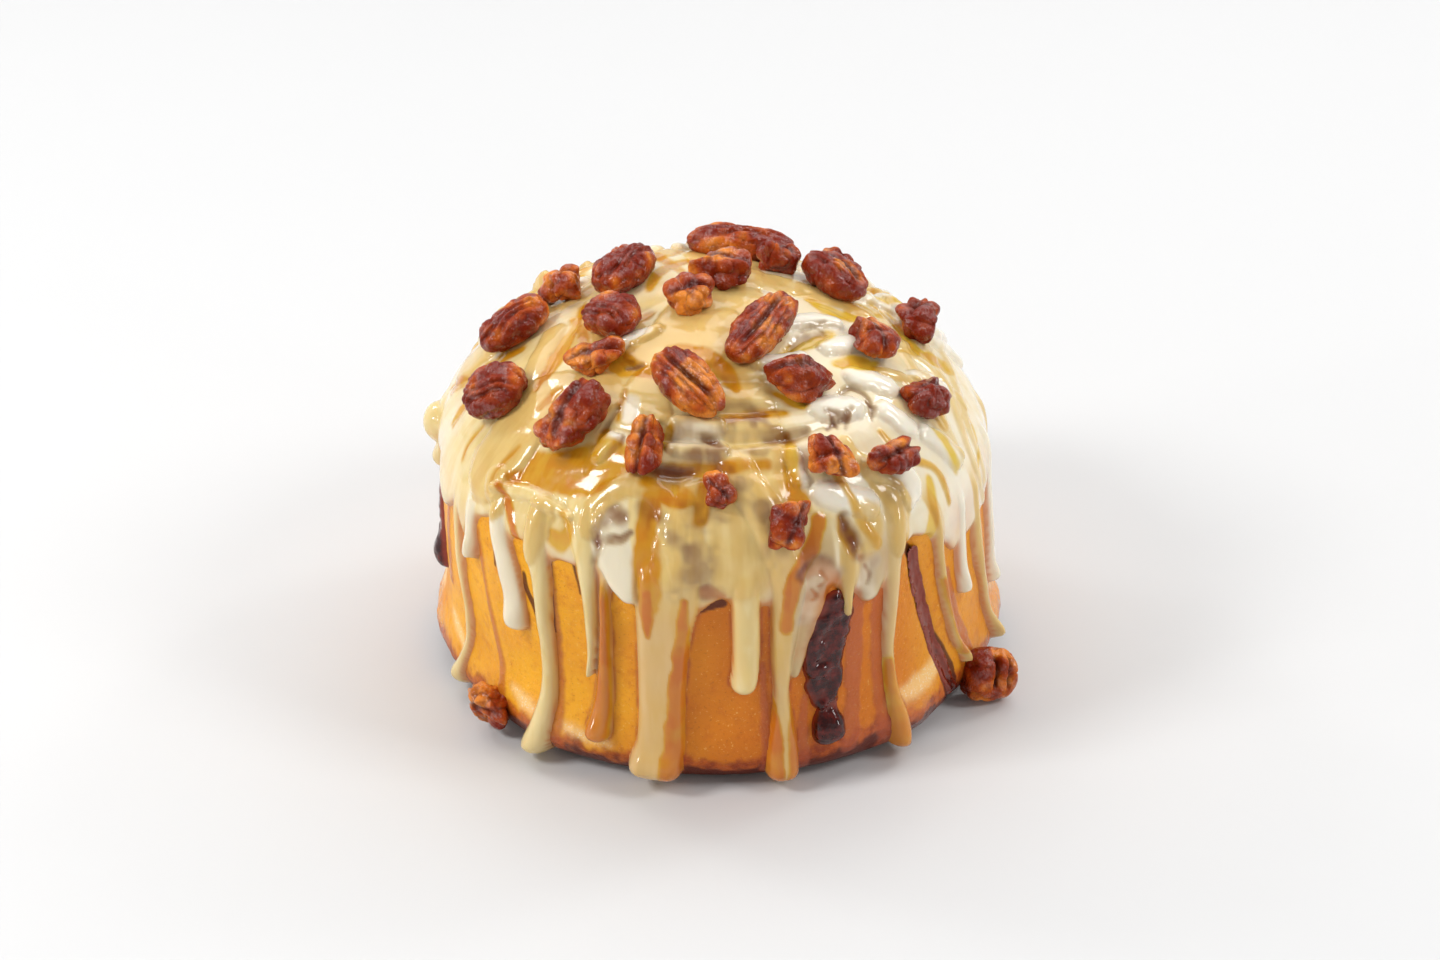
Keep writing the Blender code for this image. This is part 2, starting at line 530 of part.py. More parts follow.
def dough(finish):
    """The roll: a net wrapped over its top and side, closed by a flat base."""
    crest = spiral_points(TURN_PITCH / 2, DOUGH_STEP, FIRST_CREST_ARC)
    trough = spiral_points(0.0, DOUGH_STEP, FIRST_TROUGH_ARC)
    rings = [ring(*CENTRE_RING), ring(DOME_ARC + 4, WALL_COLUMNS)]
    for index, arc in enumerate(WALL_ARCS):
        rings.append(ring(arc, WALL_COLUMNS, index % 2 * 0.5))
    for arc in arc_at_height(FOOT_RING_HEIGHTS):
        rings.append(ring(arc, WALL_COLUMNS))
    beside = []
    for arc in (79, *WALL_ARCS, 121, 125):
        middle = float(seam_azimuth(arc))
        for offset in (-SEAM_SPREAD, 0, SEAM_SPREAD):
            beside.append((middle + offset, arc))
    beside = flat(*np.array(beside).T)
    base = flat(*ring(BASE_ARC, WALL_COLUMNS).T)
    net = flat(*np.concatenate([crest, trough, *rings]).T)
    net = np.concatenate([away_from(net, beside, 2.6), beside, [[0.0, 0.0]]])
    points, triangles = triangulate([base], net)
    surface = place(*unflat(points))
    surface[:, 2] = np.where(unflat(points)[1] > BASE_ARC - 0.01, 0, surface[:, 2])
    rim = {a: b for a, b in border(triangles)}
    start = next(iter(rim))
    loop = [start]
    while rim[loop[-1]] != start:
        loop.append(rim[loop[-1]])
    return mesh_object("dough", surface, triangles + [tuple(reversed(loop))], finish)


def icing(finish):
    """The icing with all its runs, one skin wrapped on the dough."""
    azimuth = np.arange(-180, 180, HEM_STEP)
    outlines = [flat(azimuth, hem_arc(azimuth))]
    middles = []
    wide = []
    for _, tip_reach, knots in RUNS:
        outlines.append(run_outline(tip_reach, knots))
        middles.append(run_middle(tip_reach, knots))
        if max(half for _, _, half in knots) > WIDE_RUN:
            wide.append(middles[-1])
    lined = np.concatenate(outlines)
    shoulder = flat(*ring(DOME_ARC + 2, WALL_COLUMNS).T)
    top = np.concatenate([flat(*ring(*CENTRE_RING).T), [[0.0, 0.0]]])
    crest = flat(*spiral_points(TURN_PITCH / 2, DOUGH_STEP, FIRST_CREST_ARC).T)
    trough = flat(*spiral_points(0.0, DOUGH_STEP, FIRST_TROUGH_ARC).T)
    low = trough[unflat(trough)[1] > LOW_TROUGH_ARC]
    under = away_from(np.concatenate([crest, low, shoulder, top]), lined, NET_CLEARANCE)
    under = np.concatenate([away_from(under, np.concatenate(wide), NET_CLEARANCE), *wide])
    crest = flat(*spiral_points(TURN_PITCH / 2, ICING_STEP, FIRST_CREST_ARC).T)
    trough = flat(*spiral_points(0.0, ICING_STEP, FIRST_TROUGH_ARC).T)
    net = np.concatenate([crest, trough, top])
    inside = unflat(net)[1] < hem_arc(unflat(net)[0]) - 2.5
    over = away_from(np.concatenate([net[inside], shoulder]), lined, NET_CLEARANCE)
    over = np.concatenate([away_from(over, np.concatenate(middles), NET_CLEARANCE), *middles])
    return sheet("icing", outlines, over, under, icing_depth, True, finish)


def cinnamon_run(name, tip_reach, knots, finish):
    """One run of filling down the wall of the dough."""

    def depth(azimuth, arc):
        shape = run_depth(CINNAMON_DEPTH, tip_reach, knots, azimuth, arc)
        return np.maximum(shape, CINNAMON_DEPTH * RUN_EDGE)

    outline = run_outline(tip_reach, knots)
    middle = run_middle(tip_reach, knots)
    return sheet(name, [outline], middle, middle, depth, False, finish)


def nut_directions(columns, rows):
    """Unit directions of a ball's grid and its faces; the poles lie on X."""
    directions = [(1.0, 0.0, 0.0)]
    for row in range(1, rows):
        polar = math.pi * row / rows
        for column in range(columns):
            turn = -2 * math.pi * column / columns
            ring_point = (math.sin(polar) * math.sin(turn), math.sin(polar) * math.cos(turn))
            directions.append((math.cos(polar), *ring_point))
    directions.append((-1.0, 0.0, 0.0))
    faces = []
    last = len(directions) - 1
    for column in range(columns):
        after = (column + 1) % columns
        faces.append((0, 1 + column, 1 + after))
        for row in range(rows - 2):
            near, far = 1 + row * columns, 1 + (row + 1) * columns
            faces.append((near + column, far + column, far + after, near + after))
        near = 1 + (rows - 2) * columns
        faces.append((near + column, last, near + after))
    return np.array(directions), faces


def cleft(position, centre, width):
    """Cross-section of a cleft, 1 at its centre."""
    return np.exp(-(((position - centre) / width) ** 2))


def half_scale(along, across, top, depth, draw):
    """A pecan half: long lobes either side of a cleft, and crosswise wrinkles."""
    bend = 0.1 * np.sin(2.4 * along + draw.uniform(-1, 1))
    scale = 1 - depth * top * cleft(across, bend, 0.2) * (1 - 0.6 * along**4)
    scale -= 0.1 * top * cleft(np.abs(across - bend), 0.62, 0.13)
    return scale + 0.06 * top * np.cos(7 * along + draw.uniform(0, 6)) * np.abs(across)


def chip(directions, reach, size, draw):
    """Snap flat faces off a nut and leave it knobby."""
    snapped = reach
    for _ in range(CHIP_COUNT):
        facing = draw.normal(size=3)
        facing /= np.linalg.norm(facing)
        support = np.linalg.norm(facing * size) * draw.uniform(CHIP_NEAREST, CHIP_FARTHEST)
        towards = np.maximum(directions @ facing, 0.001)
        snapped = np.minimum(snapped, support / towards)
    lumps = draw.normal(size=(len(KNOBS), 3))
    lumps /= np.linalg.norm(lumps, axis=1)[:, None]
    scale = np.ones(len(directions))
    for direction, amount in zip(lumps, KNOBS):
        scale += amount * np.exp(6 * (directions @ direction - 1))
    return snapped * scale


def nut_points(kind, size, seed, directions):
    """A nut's surface around its own middle, the long side along X."""
    draw = np.random.default_rng(seed)
    size = np.array(size) / 2
    squareness = BOXY_SQUARENESS if kind == RIDGED else SQUARENESS
    reach = (np.abs(directions / size) ** squareness).sum(axis=1) ** (-1 / squareness)
    if kind == CHUNK:
        reach = chip(directions, reach, size, draw)
    points = directions * reach[:, None]
    along = points[:, 0] / size[0]
    across = points[:, 1] / size[1]
    top = smooth_step(directions[:, 2], -0.1, 0.5)
    if kind == HALF:
        scale = half_scale(along, across, top, CLEFT_DEPTH, draw)
    elif kind == WHOLE_BACK:
        scale = half_scale(along, across, top, BACK_CLEFT_DEPTH, draw)
    elif kind == RIDGED:
        grooves = sum(cleft(along, position, RIDGE_HALF_WIDTH) for position in RIDGES)
        scale = 1 - CLEFT_DEPTH * top * grooves * smooth_step(across, *RIDGE_FOOT)
    else:
        slant = draw.uniform(-0.4, 0.4)
        scale = 1 - 0.22 * top * cleft(across, slant * along + draw.uniform(-0.3, 0.3), 0.2)
    return points * scale[:, None]


def locate(points):
    """Azimuth, arc and height over the dough of points near its surface."""
    lean = -DOME_LEAN * smooth_step(points[:, 2], LEAN_FROM, LEAN_TO)
    x = points[:, 0] - lean
    azimuth = np.degrees(np.arctan2(x, -points[:, 1]))
    radius = np.hypot(x, points[:, 1])
    arcs = np.linspace(0, BASE_ARC, 540)
    away = (radius[:, None] - np.interp(arcs, ARC, RADIUS)) ** 2
    away = away + (points[:, 2][:, None] - np.interp(arcs, ARC, HEIGHT)) ** 2
    nearest = arcs[np.argmin(away, axis=1)]
    ground = place(azimuth, nearest, 0.0, True)
    lift_out, lift_up = outward(nearest)
    turn = np.radians(azimuth)
    direction = np.stack([lift_out * np.sin(turn), -lift_out * np.cos(turn), lift_up], -1)
    return azimuth, nearest, ((points - ground) * direction).sum(axis=1), direction


def keep_clear(points):
    """Lift points that dip into the icing so that they rest just over it."""
    azimuth, arc, height, direction = locate(points)
    needed = skin_gap(arc) + icing_cover(azimuth, arc) + NUT_GAP
    lifted = points + direction * np.clip(needed - height, 0, None)[:, None]
    lifted[:, 2] = np.maximum(lifted[:, 2], FLOOR_GAP)
    return lifted


def icing_cover(azimuth, arc):
    """Depth of icing at a point, nothing where the dough is bare."""
    covered = arc < hem_arc(azimuth) + 1.5
    for _, tip_reach, knots in RUNS:
        wide = tuple((middle, at, half + 1.5) for middle, at, half in knots)
        covered = covered | (run_depth(1.0, tip_reach, wide, azimuth, arc) > 0)
    return np.where(covered, icing_depth(azimuth, arc), 0)


def pecan(name, kind, centre, tilt, azimuth, size, heading, seed, finish):
    """A nut at centre, its back tilted up from level, kept clear of the icing."""
    directions, faces = nut_directions(*(LONG_GRID if size[0] > NUT_LONG else SHORT_GRID))
    shape = nut_points(kind, size, seed, directions)
    turn = math.radians(azimuth)
    level, upward = math.cos(tilt), math.sin(tilt)
    normal = np.array([level * math.sin(turn), -level * math.cos(turn), upward])
    side = np.array([math.cos(turn), math.sin(turn), 0.0])
    downhill = np.cross(side, normal)
    angle = math.radians(heading)
    long_way = downhill * math.cos(angle) + side * math.sin(angle)
    short_way = np.cross(normal, long_way)
    world = centre + shape @ np.stack([long_way, short_way, normal])
    return mesh_object(name, keep_clear(world), faces, finish)


def pecans(finish):
    """Every nut, those on the icing first."""
    for kind, azimuth, arc, length, width, height, heading, seed in PECANS:
        size = (length, width, height)
        lift = SKIN_GAP + ICING_DEPTH + height * (0.5 - NUT_SINK)
        centre = place(azimuth, arc, lift, True)
        level, upward = outward(np.array(float(arc)))
        tilt = math.atan2(upward, level)
        pecan(f"pecan_{seed:02d}", kind, centre, tilt, azimuth, size, heading, seed, finish)
    for kind, azimuth, facing, radius, middle, length, width, height, heading, seed in FOOT_PECANS:
        size = (length, width, height)
        turn = math.radians(azimuth)
        centre = np.array([radius * math.sin(turn), -radius * math.cos(turn), middle])
        pecan(f"pecan_{seed:02d}", kind, centre, 0.0, facing, size, heading, seed, finish)


def main():
    for old in list(bpy.data.objects):
        bpy.data.objects.remove(old)
    crust = material("dough", (0.72, 0.36, 0.08), 0.5)
    glaze = material("icing", (0.83, 0.72, 0.45), 0.25, 0.4)
    filling = material("cinnamon", (0.10, 0.025, 0.012), 0.3, 0.4)
    nut = material("pecan", (0.26, 0.07, 0.02), 0.35, 0.3)
    dough(crust)
    icing(glaze)
    for name, (tip_reach, knots) in CINNAMON.items():
        cinnamon_run(name, tip_reach, knots, filling)
    pecans(nut)


main()
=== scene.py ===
"""Looks of the sticky bun: crust, running icing, caramel, cinnamon and glazed pecans."""
import math

import bpy
import numpy as np
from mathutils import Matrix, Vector


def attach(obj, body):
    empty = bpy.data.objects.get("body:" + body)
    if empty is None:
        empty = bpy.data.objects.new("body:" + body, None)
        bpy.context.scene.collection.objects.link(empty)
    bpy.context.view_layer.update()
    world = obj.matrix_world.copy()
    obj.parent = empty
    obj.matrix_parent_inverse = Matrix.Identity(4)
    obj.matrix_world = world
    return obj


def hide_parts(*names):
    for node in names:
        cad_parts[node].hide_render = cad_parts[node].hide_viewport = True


# Sizes are in millimetres and turned into metres when a mesh is made.
MM = 0.001

# Dough: a spiral roll with a straight wall, a domed top and a rounded foot.
# Azimuth 0 is the front of the bun (-Y) and grows towards its right (+X).
# Arc is the distance walked from the top of the dome down the side.
WALL_RADIUS = 62.2
SHOULDER_HEIGHT = 51.0
DOME_HEIGHT = 91.0
DOME_IN_POWER = 1.5
DOME_OUT_POWER = 2.0
FOOT_RADIUS = 8.0
DOME_LEAN = 1.2
LEAN_RANGE = (10.0, 50.0)
DOME_ARC = 72.0
# Points of the profile over the dome, down the wall and round the foot.
DOME_POINTS, WALL_POINTS, FOOT_POINTS = 80, 30, 20
NORMAL_STEP = 0.6
# A swelling high on the far side: azimuth, arc, radius and rise.
CROWN_SWELL = (-165, 30, 9.0, 1.6)
# Unevenness: height, waves round the bun, phase and arc of each wave going down.
WAVES = ((0.5, 2, 0.6, math.inf), (0.35, 3, 2.1, math.inf), (0.3, 5, 0.0, 14), (0.25, 2, 0.0, 9))
WAVES_RISE = (4, 24)
WAVES_FALL = (110, 128)

# Foot bulges: azimuth, how far they stand out, and half-spread in degrees.
FOOT_BULGE_LEAST = 0.6
FOOT_BULGE_HEIGHT = 9.0
FOOT_BULGE_SPREAD = 7.0
FOOT_BULGES = (
    (-95, 2.6, 20), (-36, 2.0, 11), (-5, 0.6, 12), (27, 1.0, 9), (44, 2.0, 9), (95, 4.2, 18),
    (140, 1.8, 14), (176, 1.0, 12), (-148, 1.9, 16), (-120, 0.8, 10),
)

# Roll: the groove between two turns of the dough, wound out from the top.
TURN_PITCH = 7.7
TURN_PHASE = 0.3
GROOVE_HALF_WIDTH = 1.5
GROOVE_DEPTH = 1.3
GROOVE_RISE = (3, 9)
GROOVE_FALL = (DOME_ARC - 8, DOME_ARC)
# The roll is open high on the front: extra depth of its groove, rise of the icing
# there, its middle as azimuth and arc, and its spread in degrees and in arc.
OPEN_GROOVE_DEPTH = 1.1
OPEN_RISE = 0.8
OPEN_AZIMUTH, OPEN_ARC = 5.0, 43.0
OPEN_SPREAD = (30.0, 12.0)

# Loose end of the outer turn: an upright seam down the right of the front.
SEAM = ((44, 74), (45.5, 80), (47, 87), (50, 100), (52.5, 109.5), (56.5, 119.5), (60.5, 128))
SEAM_DEPTH = 1.3
SEAM_HALF_WIDTH = 1.8
SEAM_RISE = (72, 80)
# Arc over the base where the seam begins to fade and where it has gone.
SEAM_END = (9, 2)

# Toppings rise outward, never further below level than this. A direction shorter than
# the second value isn't lengthened.
LIFT_LEAST = -0.1
LIFT_SHORTEST = 0.3

# Nets of the skins: arc from and to, spacing of the rows and number of columns.
ICING_BANDS = (
    (0.5, 8, 0.6, 120), (8, 18, 0.55, 240), (18, 38, 0.5, 480), (38, 80, 0.45, 960), (80, 132, 0.7, 960),
)
DOUGH_BANDS = ((0.5, 12, 2.0, 60), (12, 40, 2.0, 120), (40, 68, 1.6, 240), (68, 134.7, 0.55, 960))

# Noise: its steps from cell to cell and the factors that scramble them.
NOISE_SHIFT = 17.31
NOISE_STEPS = (73856093, 19349663, 83492791)
NOISE_SEED_STEP = 2654435
NOISE_FACTORS = ((13, 1274126177), (15, 668265263))
NOISE_MASK = 0x7FFFFFFF
NOISE_HALF = 0x3FFFFFFF

# Streaks: points from knot to knot, least half-width, how far off a point is still
# measured, and how far outside every other point counts as being.
LINE_POINTS = 5
LEAST_HALF_WIDTH = 0.2
STREAK_MARGIN = 4
FAR = 30.0

# Icing: its gap from the dough, its depth, how far under the dough it is still kept,
# its lowest point, and the rounding and undercut of its hem.
SKIN_GAP = 0.35
ICING_DEPTH = 1.35
ICING_KEPT = -0.5
LOWEST_ICING = 0.05
HEM_ROUNDING = 3.0
HEM_UNDERCUT = 0.8
# Here and below, uneven edges are noises given as strength, size and seed.
HEM_WAVES = ((0.5, 4.0, 3),)
# Height of the hem by azimuth.
HEM = (
    (-180, 53), (-171, 48), (-162, 47), (-150, 54), (-138, 49), (-126, 55), (-114, 48), (-102, 53),
    (-92, 52), (-83, 54), (-74, 46), (-66, 52), (-61, 46), (-56, 54), (-51, 56), (-44, 54), (-39, 56),
    (-33, 53.5), (-28, 54), (-24, 56), (-20, 51), (-17, 49), (-13, 47), (-6, 46.5), (-1, 47.5), (2, 49.5),
    (6, 49.5), (11, 48), (16, 50), (21, 48), (27, 50), (32, 45), (37, 46), (41, 52), (45, 54), (50, 52),
    (54, 49), (60, 43), (66, 43), (74, 44), (82, 46), (90, 50), (102, 46), (112, 52), (121, 47),
    (133, 54), (146, 49), (158, 55), (169, 48), (180, 53),
)
# Thin web of icing between the hem and the tops of its runs.
WEB_DEPTH = 0.9
WEB_ROUNDING = 1.6
WEB_FILLET = 2.4
WEB_BLEND = 0.4

# Kinds of topping that show on the icing, in the order of their attributes.
CREAM, WHITE, TAN, CARAMEL, FILLING = "cream", "white", "tan", "caramel", "filling"
KINDS = (WHITE, TAN, CARAMEL, FILLING)
# Glaze of a run that is part one kind and part another, or part clear.
SHEER, HONEY, MURKY = "sheer", "honey", "murky"
BLENDS = {
    SHEER: ((TAN, 0.45), (CARAMEL, 0.22)), HONEY: ((TAN, 0.5), (CARAMEL, 0.28)),
    MURKY: ((WHITE, 0.5), (TAN, 0.5), (FILLING, 0.3)),
}
SHEER_CLEAR = 0.3
SHEER_RISE = (78, 86)

# Runs: kind, depth, then azimuth, arc and half-width from the top to the tip.
RUNS = (
    (WHITE, 1.7, ((-58, 68, 2.2), (-58, 80, 1.8), (-57.5, 86.5, 1.4))),
    (WHITE, 2.1, ((-49.5, 66, 2.6), (-48.5, 74, 2.5), (-45.5, 82, 3.0), (-44, 90, 3.1),
        (-43.5, 96.8, 2.8))),
    (CREAM, 2.6, ((-39, 62, 2.6), (-37.5, 74, 3.0), (-35.5, 83, 2.4), (-35.5, 93, 1.9), (-35.5, 104, 1.9),
        (-36, 114, 2.2), (-37, 121.5, 2.8), (-39, 127, 3.4))),
    (CREAM, 2.1, ((-30, 58, 3.2), (-28.5, 67, 3.0), (-25.5, 75, 2.3), (-24.5, 84, 1.7),
        (-24.5, 94.5, 1.2), (-25, 103, 0.6))),
    (CARAMEL, 2.4, ((-21.3, 76, 1.0), (-21.3, 89, 1.1), (-22, 99, 1.5), (-23, 110, 2.2),
        (-24, 117.5, 2.9))),
    (WHITE, 1.9, ((-22, 58, 3.2), (-21, 68, 4.4), (-18, 75.5, 4.0), (-15.8, 80.5, 2.6))),
    (SHEER, 2.8, ((-8, 70, 6.5), (-8.4, 81, 7.0), (-9.5, 91, 5.9), (-10.5, 104.5, 5.2), (-11, 118, 5.3),
        (-12, 124, 6.0))),
    (CREAM, 2.4, ((7, 72, 3.0), (7, 91, 3.0), (6.5, 99, 2.9), (6, 101.8, 2.9))),
    (HONEY, 2.5, ((4, 46, 4.0), (8, 56, 4.5), (13, 66, 4.4), (15.5, 77.5, 4.1), (15, 87, 3.3),
        (14, 97, 2.4), (13.5, 105, 1.7), (13.5, 112.5, 2.4), (13.5, 121, 3.4), (13.6, 126.5, 3.7))),
    (MURKY, 0.9, ((21.5, 66, 4.0), (21, 77, 4.3), (19, 88, 3.6), (17, 97, 2.2), (16.3, 101, 1.2))),
    (TAN, 1.7, ((30, 66, 3.0), (28.5, 76, 2.7), (28, 83, 1.6), (27.5, 88, 0.7))),
    (MURKY, 1.0, ((34, 70, 4.5), (34, 80, 4.0), (33.5, 85, 2.8))),
    (SHEER, 2.0, ((43, 60, 3.4), (40.5, 72, 3.0), (39.5, 79.5, 2.3), (39, 89, 1.8), (38, 99.5, 1.5),
        (38, 110, 1.5), (39, 118.5, 2.1), (40, 125.5, 2.3), (40.7, 127, 2.2))),
    (TAN, 1.4, ((50, 66, 2.2), (53, 76, 1.6), (55, 90, 1.2), (56.5, 100.5, 1.1), (59, 109.5, 1.1),
        (62, 115, 1.1), (62.6, 117, 1.1))),
    (WHITE, 1.6, ((62, 70, 2.2), (63.5, 81.5, 1.9), (63.5, 92, 1.8), (63, 98.5, 1.6))),
    (TAN, 1.6, ((70, 70, 2.0), (71.5, 86, 1.5), (72.5, 97.5, 1.4), (77, 111, 1.3), (80, 121.5, 1.4))),
    (WHITE, 1.8, ((86, 66, 3.0), (86, 84, 2.6), (87, 100, 2.0), (89, 112, 2.0))),
    (CREAM, 1.3, ((-66, 72, 1.4), (-64.5, 86.5, 1.1), (-63.5, 97, 1.0), (-62.5, 107, 1.0),
        (-64.5, 116.5, 1.2), (-68, 124, 2.0), (-69, 126.5, 2.4))),
    (TAN, 1.8, ((99, 66, 3.0), (98, 86, 2.5), (98.5, 100, 2.0), (98, 105.5, 2.4))),
    (CARAMEL, 1.6, ((109, 70, 2.4), (108, 84, 2.2), (108, 94.3, 1.8))),
    (TAN, 2.5, ((117, 64, 3.4), (116, 80, 3.2), (115, 96, 2.2), (115.5, 110, 2.2), (116, 121, 3.2),
        (116, 126, 3.5))),
    (WHITE, 2.0, ((128, 66, 3.4), (127, 82, 3.3), (127, 89, 3.0))),
    (TAN, 2.0, ((138, 68, 3.0), (137, 84, 2.0), (137, 100, 1.4), (137.5, 110, 1.9), (137.5, 115.3, 2.7))),
    (WHITE, 2.1, ((149, 66, 3.4), (148, 84, 3.0), (147.5, 99.2, 2.8))),
    (CARAMEL, 1.3, ((158, 68, 4.4), (157, 80, 3.6), (157, 87.5, 2.5))),
    (TAN, 2.8, ((168, 64, 5.2), (166, 80, 5.0), (166, 98, 4.2), (167, 116, 4.4), (168, 125, 5.0))),
    (TAN, 1.8, ((-181, 68, 2.8), (-182, 84, 2.0), (-182, 98, 1.6), (-182, 107.8, 2.2))),
    (WHITE, 2.0, ((-171, 68, 3.2), (-172, 82, 3.0), (-172, 92, 2.9))),
    (TAN, 1.9, ((-160, 66, 2.6), (-161, 84, 2.0), (-161, 104, 1.7), (-161, 118.5, 2.6))),
    (TAN, 2.2, ((-149, 66, 3.8), (-150, 84, 3.4), (-150, 100.8, 3.2))),
    (CARAMEL, 1.5, ((-139, 68, 2.4), (-139, 80, 1.8), (-139, 88.5, 1.4))),
    (TAN, 2.4, ((-128, 64, 3.6), (-129, 82, 2.8), (-129, 102, 2.1), (-128, 118, 2.8),
        (-127, 126.5, 3.1))),
    (WHITE, 2.0, ((-117, 68, 3.0), (-117, 84, 2.6), (-117, 96.5, 2.6))),
    (TAN, 1.6, ((-109, 68, 2.2), (-109, 84, 1.5), (-109.5, 100, 1.3), (-109, 110.3, 1.8))),
    (CREAM, 1.9, ((-99, 66, 3.6), (-99, 78, 4.3), (-99.5, 84, 3.4), (-100, 88, 2.3))),
)
RUN_FADE = (-1.0, 8.0)
RUN_ROUNDING = 3.2
RUN_FILLET = 0.5
RUN_BORDER = (-0.4, 0.6)
RUN_HIDING = {CARAMEL: 1.8, WHITE: 0.7}
# A run thickens to a bulb: how much, how far before its tip and over what length.
BULB_SWELL = 0.75
BULB_PLACE = 0.5
BULB_LENGTH = 3.4
# A nut buried in the icing: azimuth, arc, radius, rise and the power that rounds it.
ICED_LUMP = (-99, 77.8, 4.5, 3.2, 0.7)

# The roll and the waves under the icing show where it is this thick.
RELIEF_COVER = (0.2, 1.2)
GROOVE_SHOWN = 0.08
OPEN_GROOVE_SHOWN = 0.7
ICING_WAVE_HEIGHT = 0.3
ICING_WAVES = (11.0, 21, 2)

# White frosting: its share everywhere, more on the right, and how patchy it is.
WHITE_SHARE = 0.1
WHITE_RIGHT_SHARE = 0.45
WHITE_PATCH_SHARE = 0.35
WHITE_PATCHES = (12.0, 5)
RIGHT_RISE = (8, 40)
RIGHT_FALL = (95, 140)

# Lumps of white frosting that swell under the glaze on the right and between pours.
# Here and below, each streak is azimuth, arc and half-width along it.
LUMPS = (
    ((59, 30.5, 2.4), (71, 33.5, 2.8)), ((56, 39.5, 3.0), (62, 45.5, 3.3)),
    ((54, 50, 3.0), (56.5, 55, 3.0)), ((60.5, 59, 2.8), (65.5, 67, 3.0)),
    ((25.5, 61, 3.0), (34.5, 65.5, 3.4)), ((36.5, 42.5, 3.4), (45, 45, 3.4)),
    ((54.5, 19, 1.8), (74, 23.5, 2.4), (80, 29, 2.0)), ((39.5, 59, 2.6), (47, 64.5, 3.6), (45, 68, 2.6)),
    ((21, 51, 2.0), (21.5, 57, 2.0)), ((84, 37, 2.4), (88, 42, 2.6)), ((76, 50, 2.6), (80, 56, 2.8)),
    ((-29, 52.5, 2.3), (-26.5, 48.5, 2.3)), ((-51.7, 24.2, 1.6), (-46, 21.7, 2.4), (-40, 18.5, 1.8)),
    ((22, 27, 2.0), (44, 29, 2.2)),
)

# Turns of the roll that swell under the glaze on the front.
RIPPLES = (
    ((-9, 48, 2.2), (2, 48.3, 2.4)), ((-10, 42.4, 2.0), (1.5, 43.2, 2.2)),
    ((-51, 67.5, 0.9), (-45.5, 66, 1.5), (-40.5, 65.5, 1.6), (-35, 66, 1.5), (-30, 67, 0.9)),
)

# Cinnamon filling that shows dark in the gaps of the icing.
MARKS = (
    ((-10, 46.5, 1.0), (-5.5, 45.8, 1.6), (0.5, 45.5, 1.1)),
    ((20, 47, 0.9), (24, 46.6, 1.2), (28, 46.5, 0.9)),
    ((-14, 53.6, 1.0), (-10, 54, 1.8), (-5, 53.2, 1.4)),
    ((46, 41, 0.5), (51, 41, 0.7), (52.5, 45, 0.6), (49, 49, 0.6)),
    ((44, 25.5, 0.6), (54, 24.6, 1.2), (68, 27, 0.9)),
    ((-24.5, 64.5, 0.9), (-22.5, 62.5, 1.6), (-19, 64.5, 1.3)),
    ((-24, 68.5, 0.9), (-22.5, 71, 1.1), (-23, 74.5, 0.6)),
    ((28.5, 66.5, 0.9), (29.5, 70.5, 1.5), (30.5, 75, 1.6)),
    ((18, 76, 1.6), (21.5, 75, 2.2), (24.5, 78, 1.8), (24, 83, 1.4)),
    ((103, 19.5, 0.8), (107, 22.5, 1.2)), ((36, 44, 0.6), (40, 46.5, 0.8)),
    ((-1, 78.5, 1.8), (2, 79, 1.6)), ((-31.5, 47, 0.8), (-30.5, 41, 0.7)),
)

# Amber caramel that lies in the hollows of the icing.
CARAMELS = (
    ((-50, 60, 1.6), (-41, 59.5, 4.4), (-32.5, 57, 5.4), (-25.5, 53.5, 4.8), (-20.5, 53.5, 3.4)),
    ((-17.5, 54, 2.6), (-12, 55, 2.8), (-7, 56, 3.0), (-9.5, 60, 2.4)),
    ((-83.5, 29, 1.1), (-76, 33, 2.5), (-73.5, 38, 2.5), (-67, 42.5, 1.6), (-62.5, 45.5, 0.8)),
    ((-85.5, 44.5, 1.1), (-86.5, 50, 1.9), (-89.5, 59, 1.7), (-94, 66, 1.1)),
    ((-81.5, 59, 0.9), (-81, 64.5, 1.2), (-80.5, 67, 0.7)), ((-108, 65.5, 0.7), (-97, 48, 1.0)),
    ((-31, 30.5, 0.9), (-39, 32, 1.7), (-47, 30, 1.1)),
    ((98.5, 22.5, 0.7), (91.5, 26, 1.9), (93, 31.5, 2.1), (104, 35, 1.1)),
    ((41, 25, 0.8), (52, 26.5, 1.7), (64, 28, 1.7), (71, 29, 0.8)),
    ((54.5, 34.5, 1.0), (63, 37, 1.9), (67, 40.5, 1.5)),
    ((85, 44.5, 0.8), (91.5, 51.5, 1.9), (93.5, 57.5, 1.9), (90.5, 61, 0.9)),
    ((132.5, 50, 0.7), (115.5, 45, 1.0), (100.5, 45.5, 1.0), (91.5, 51, 1.0)),
    ((62.5, 58.5, 0.8), (63.5, 64.5, 1.2), (64, 69.5, 0.9)),
    ((53.5, 67, 1.0), (51.5, 73, 1.9), (50, 79, 2.2)),
    ((-160.5, 27, 2.4), (-171, 31, 2.4), (-171, 15, 2.0)),
    ((20.5, 48.5, 2.2), (19, 54, 2.6), (18.5, 58, 2.4), (20, 62, 2.2)),
    ((2, 27, 3.0), (11, 32, 2.6), (11.5, 37, 1.1)),
    ((-36, 70.5, 0.8), (-31.5, 72.5, 2.0), (-29.5, 69.5, 1.4), (-31.5, 67, 0.9)),
    ((22, 35, 0.8), (31, 40, 1.2)),
)

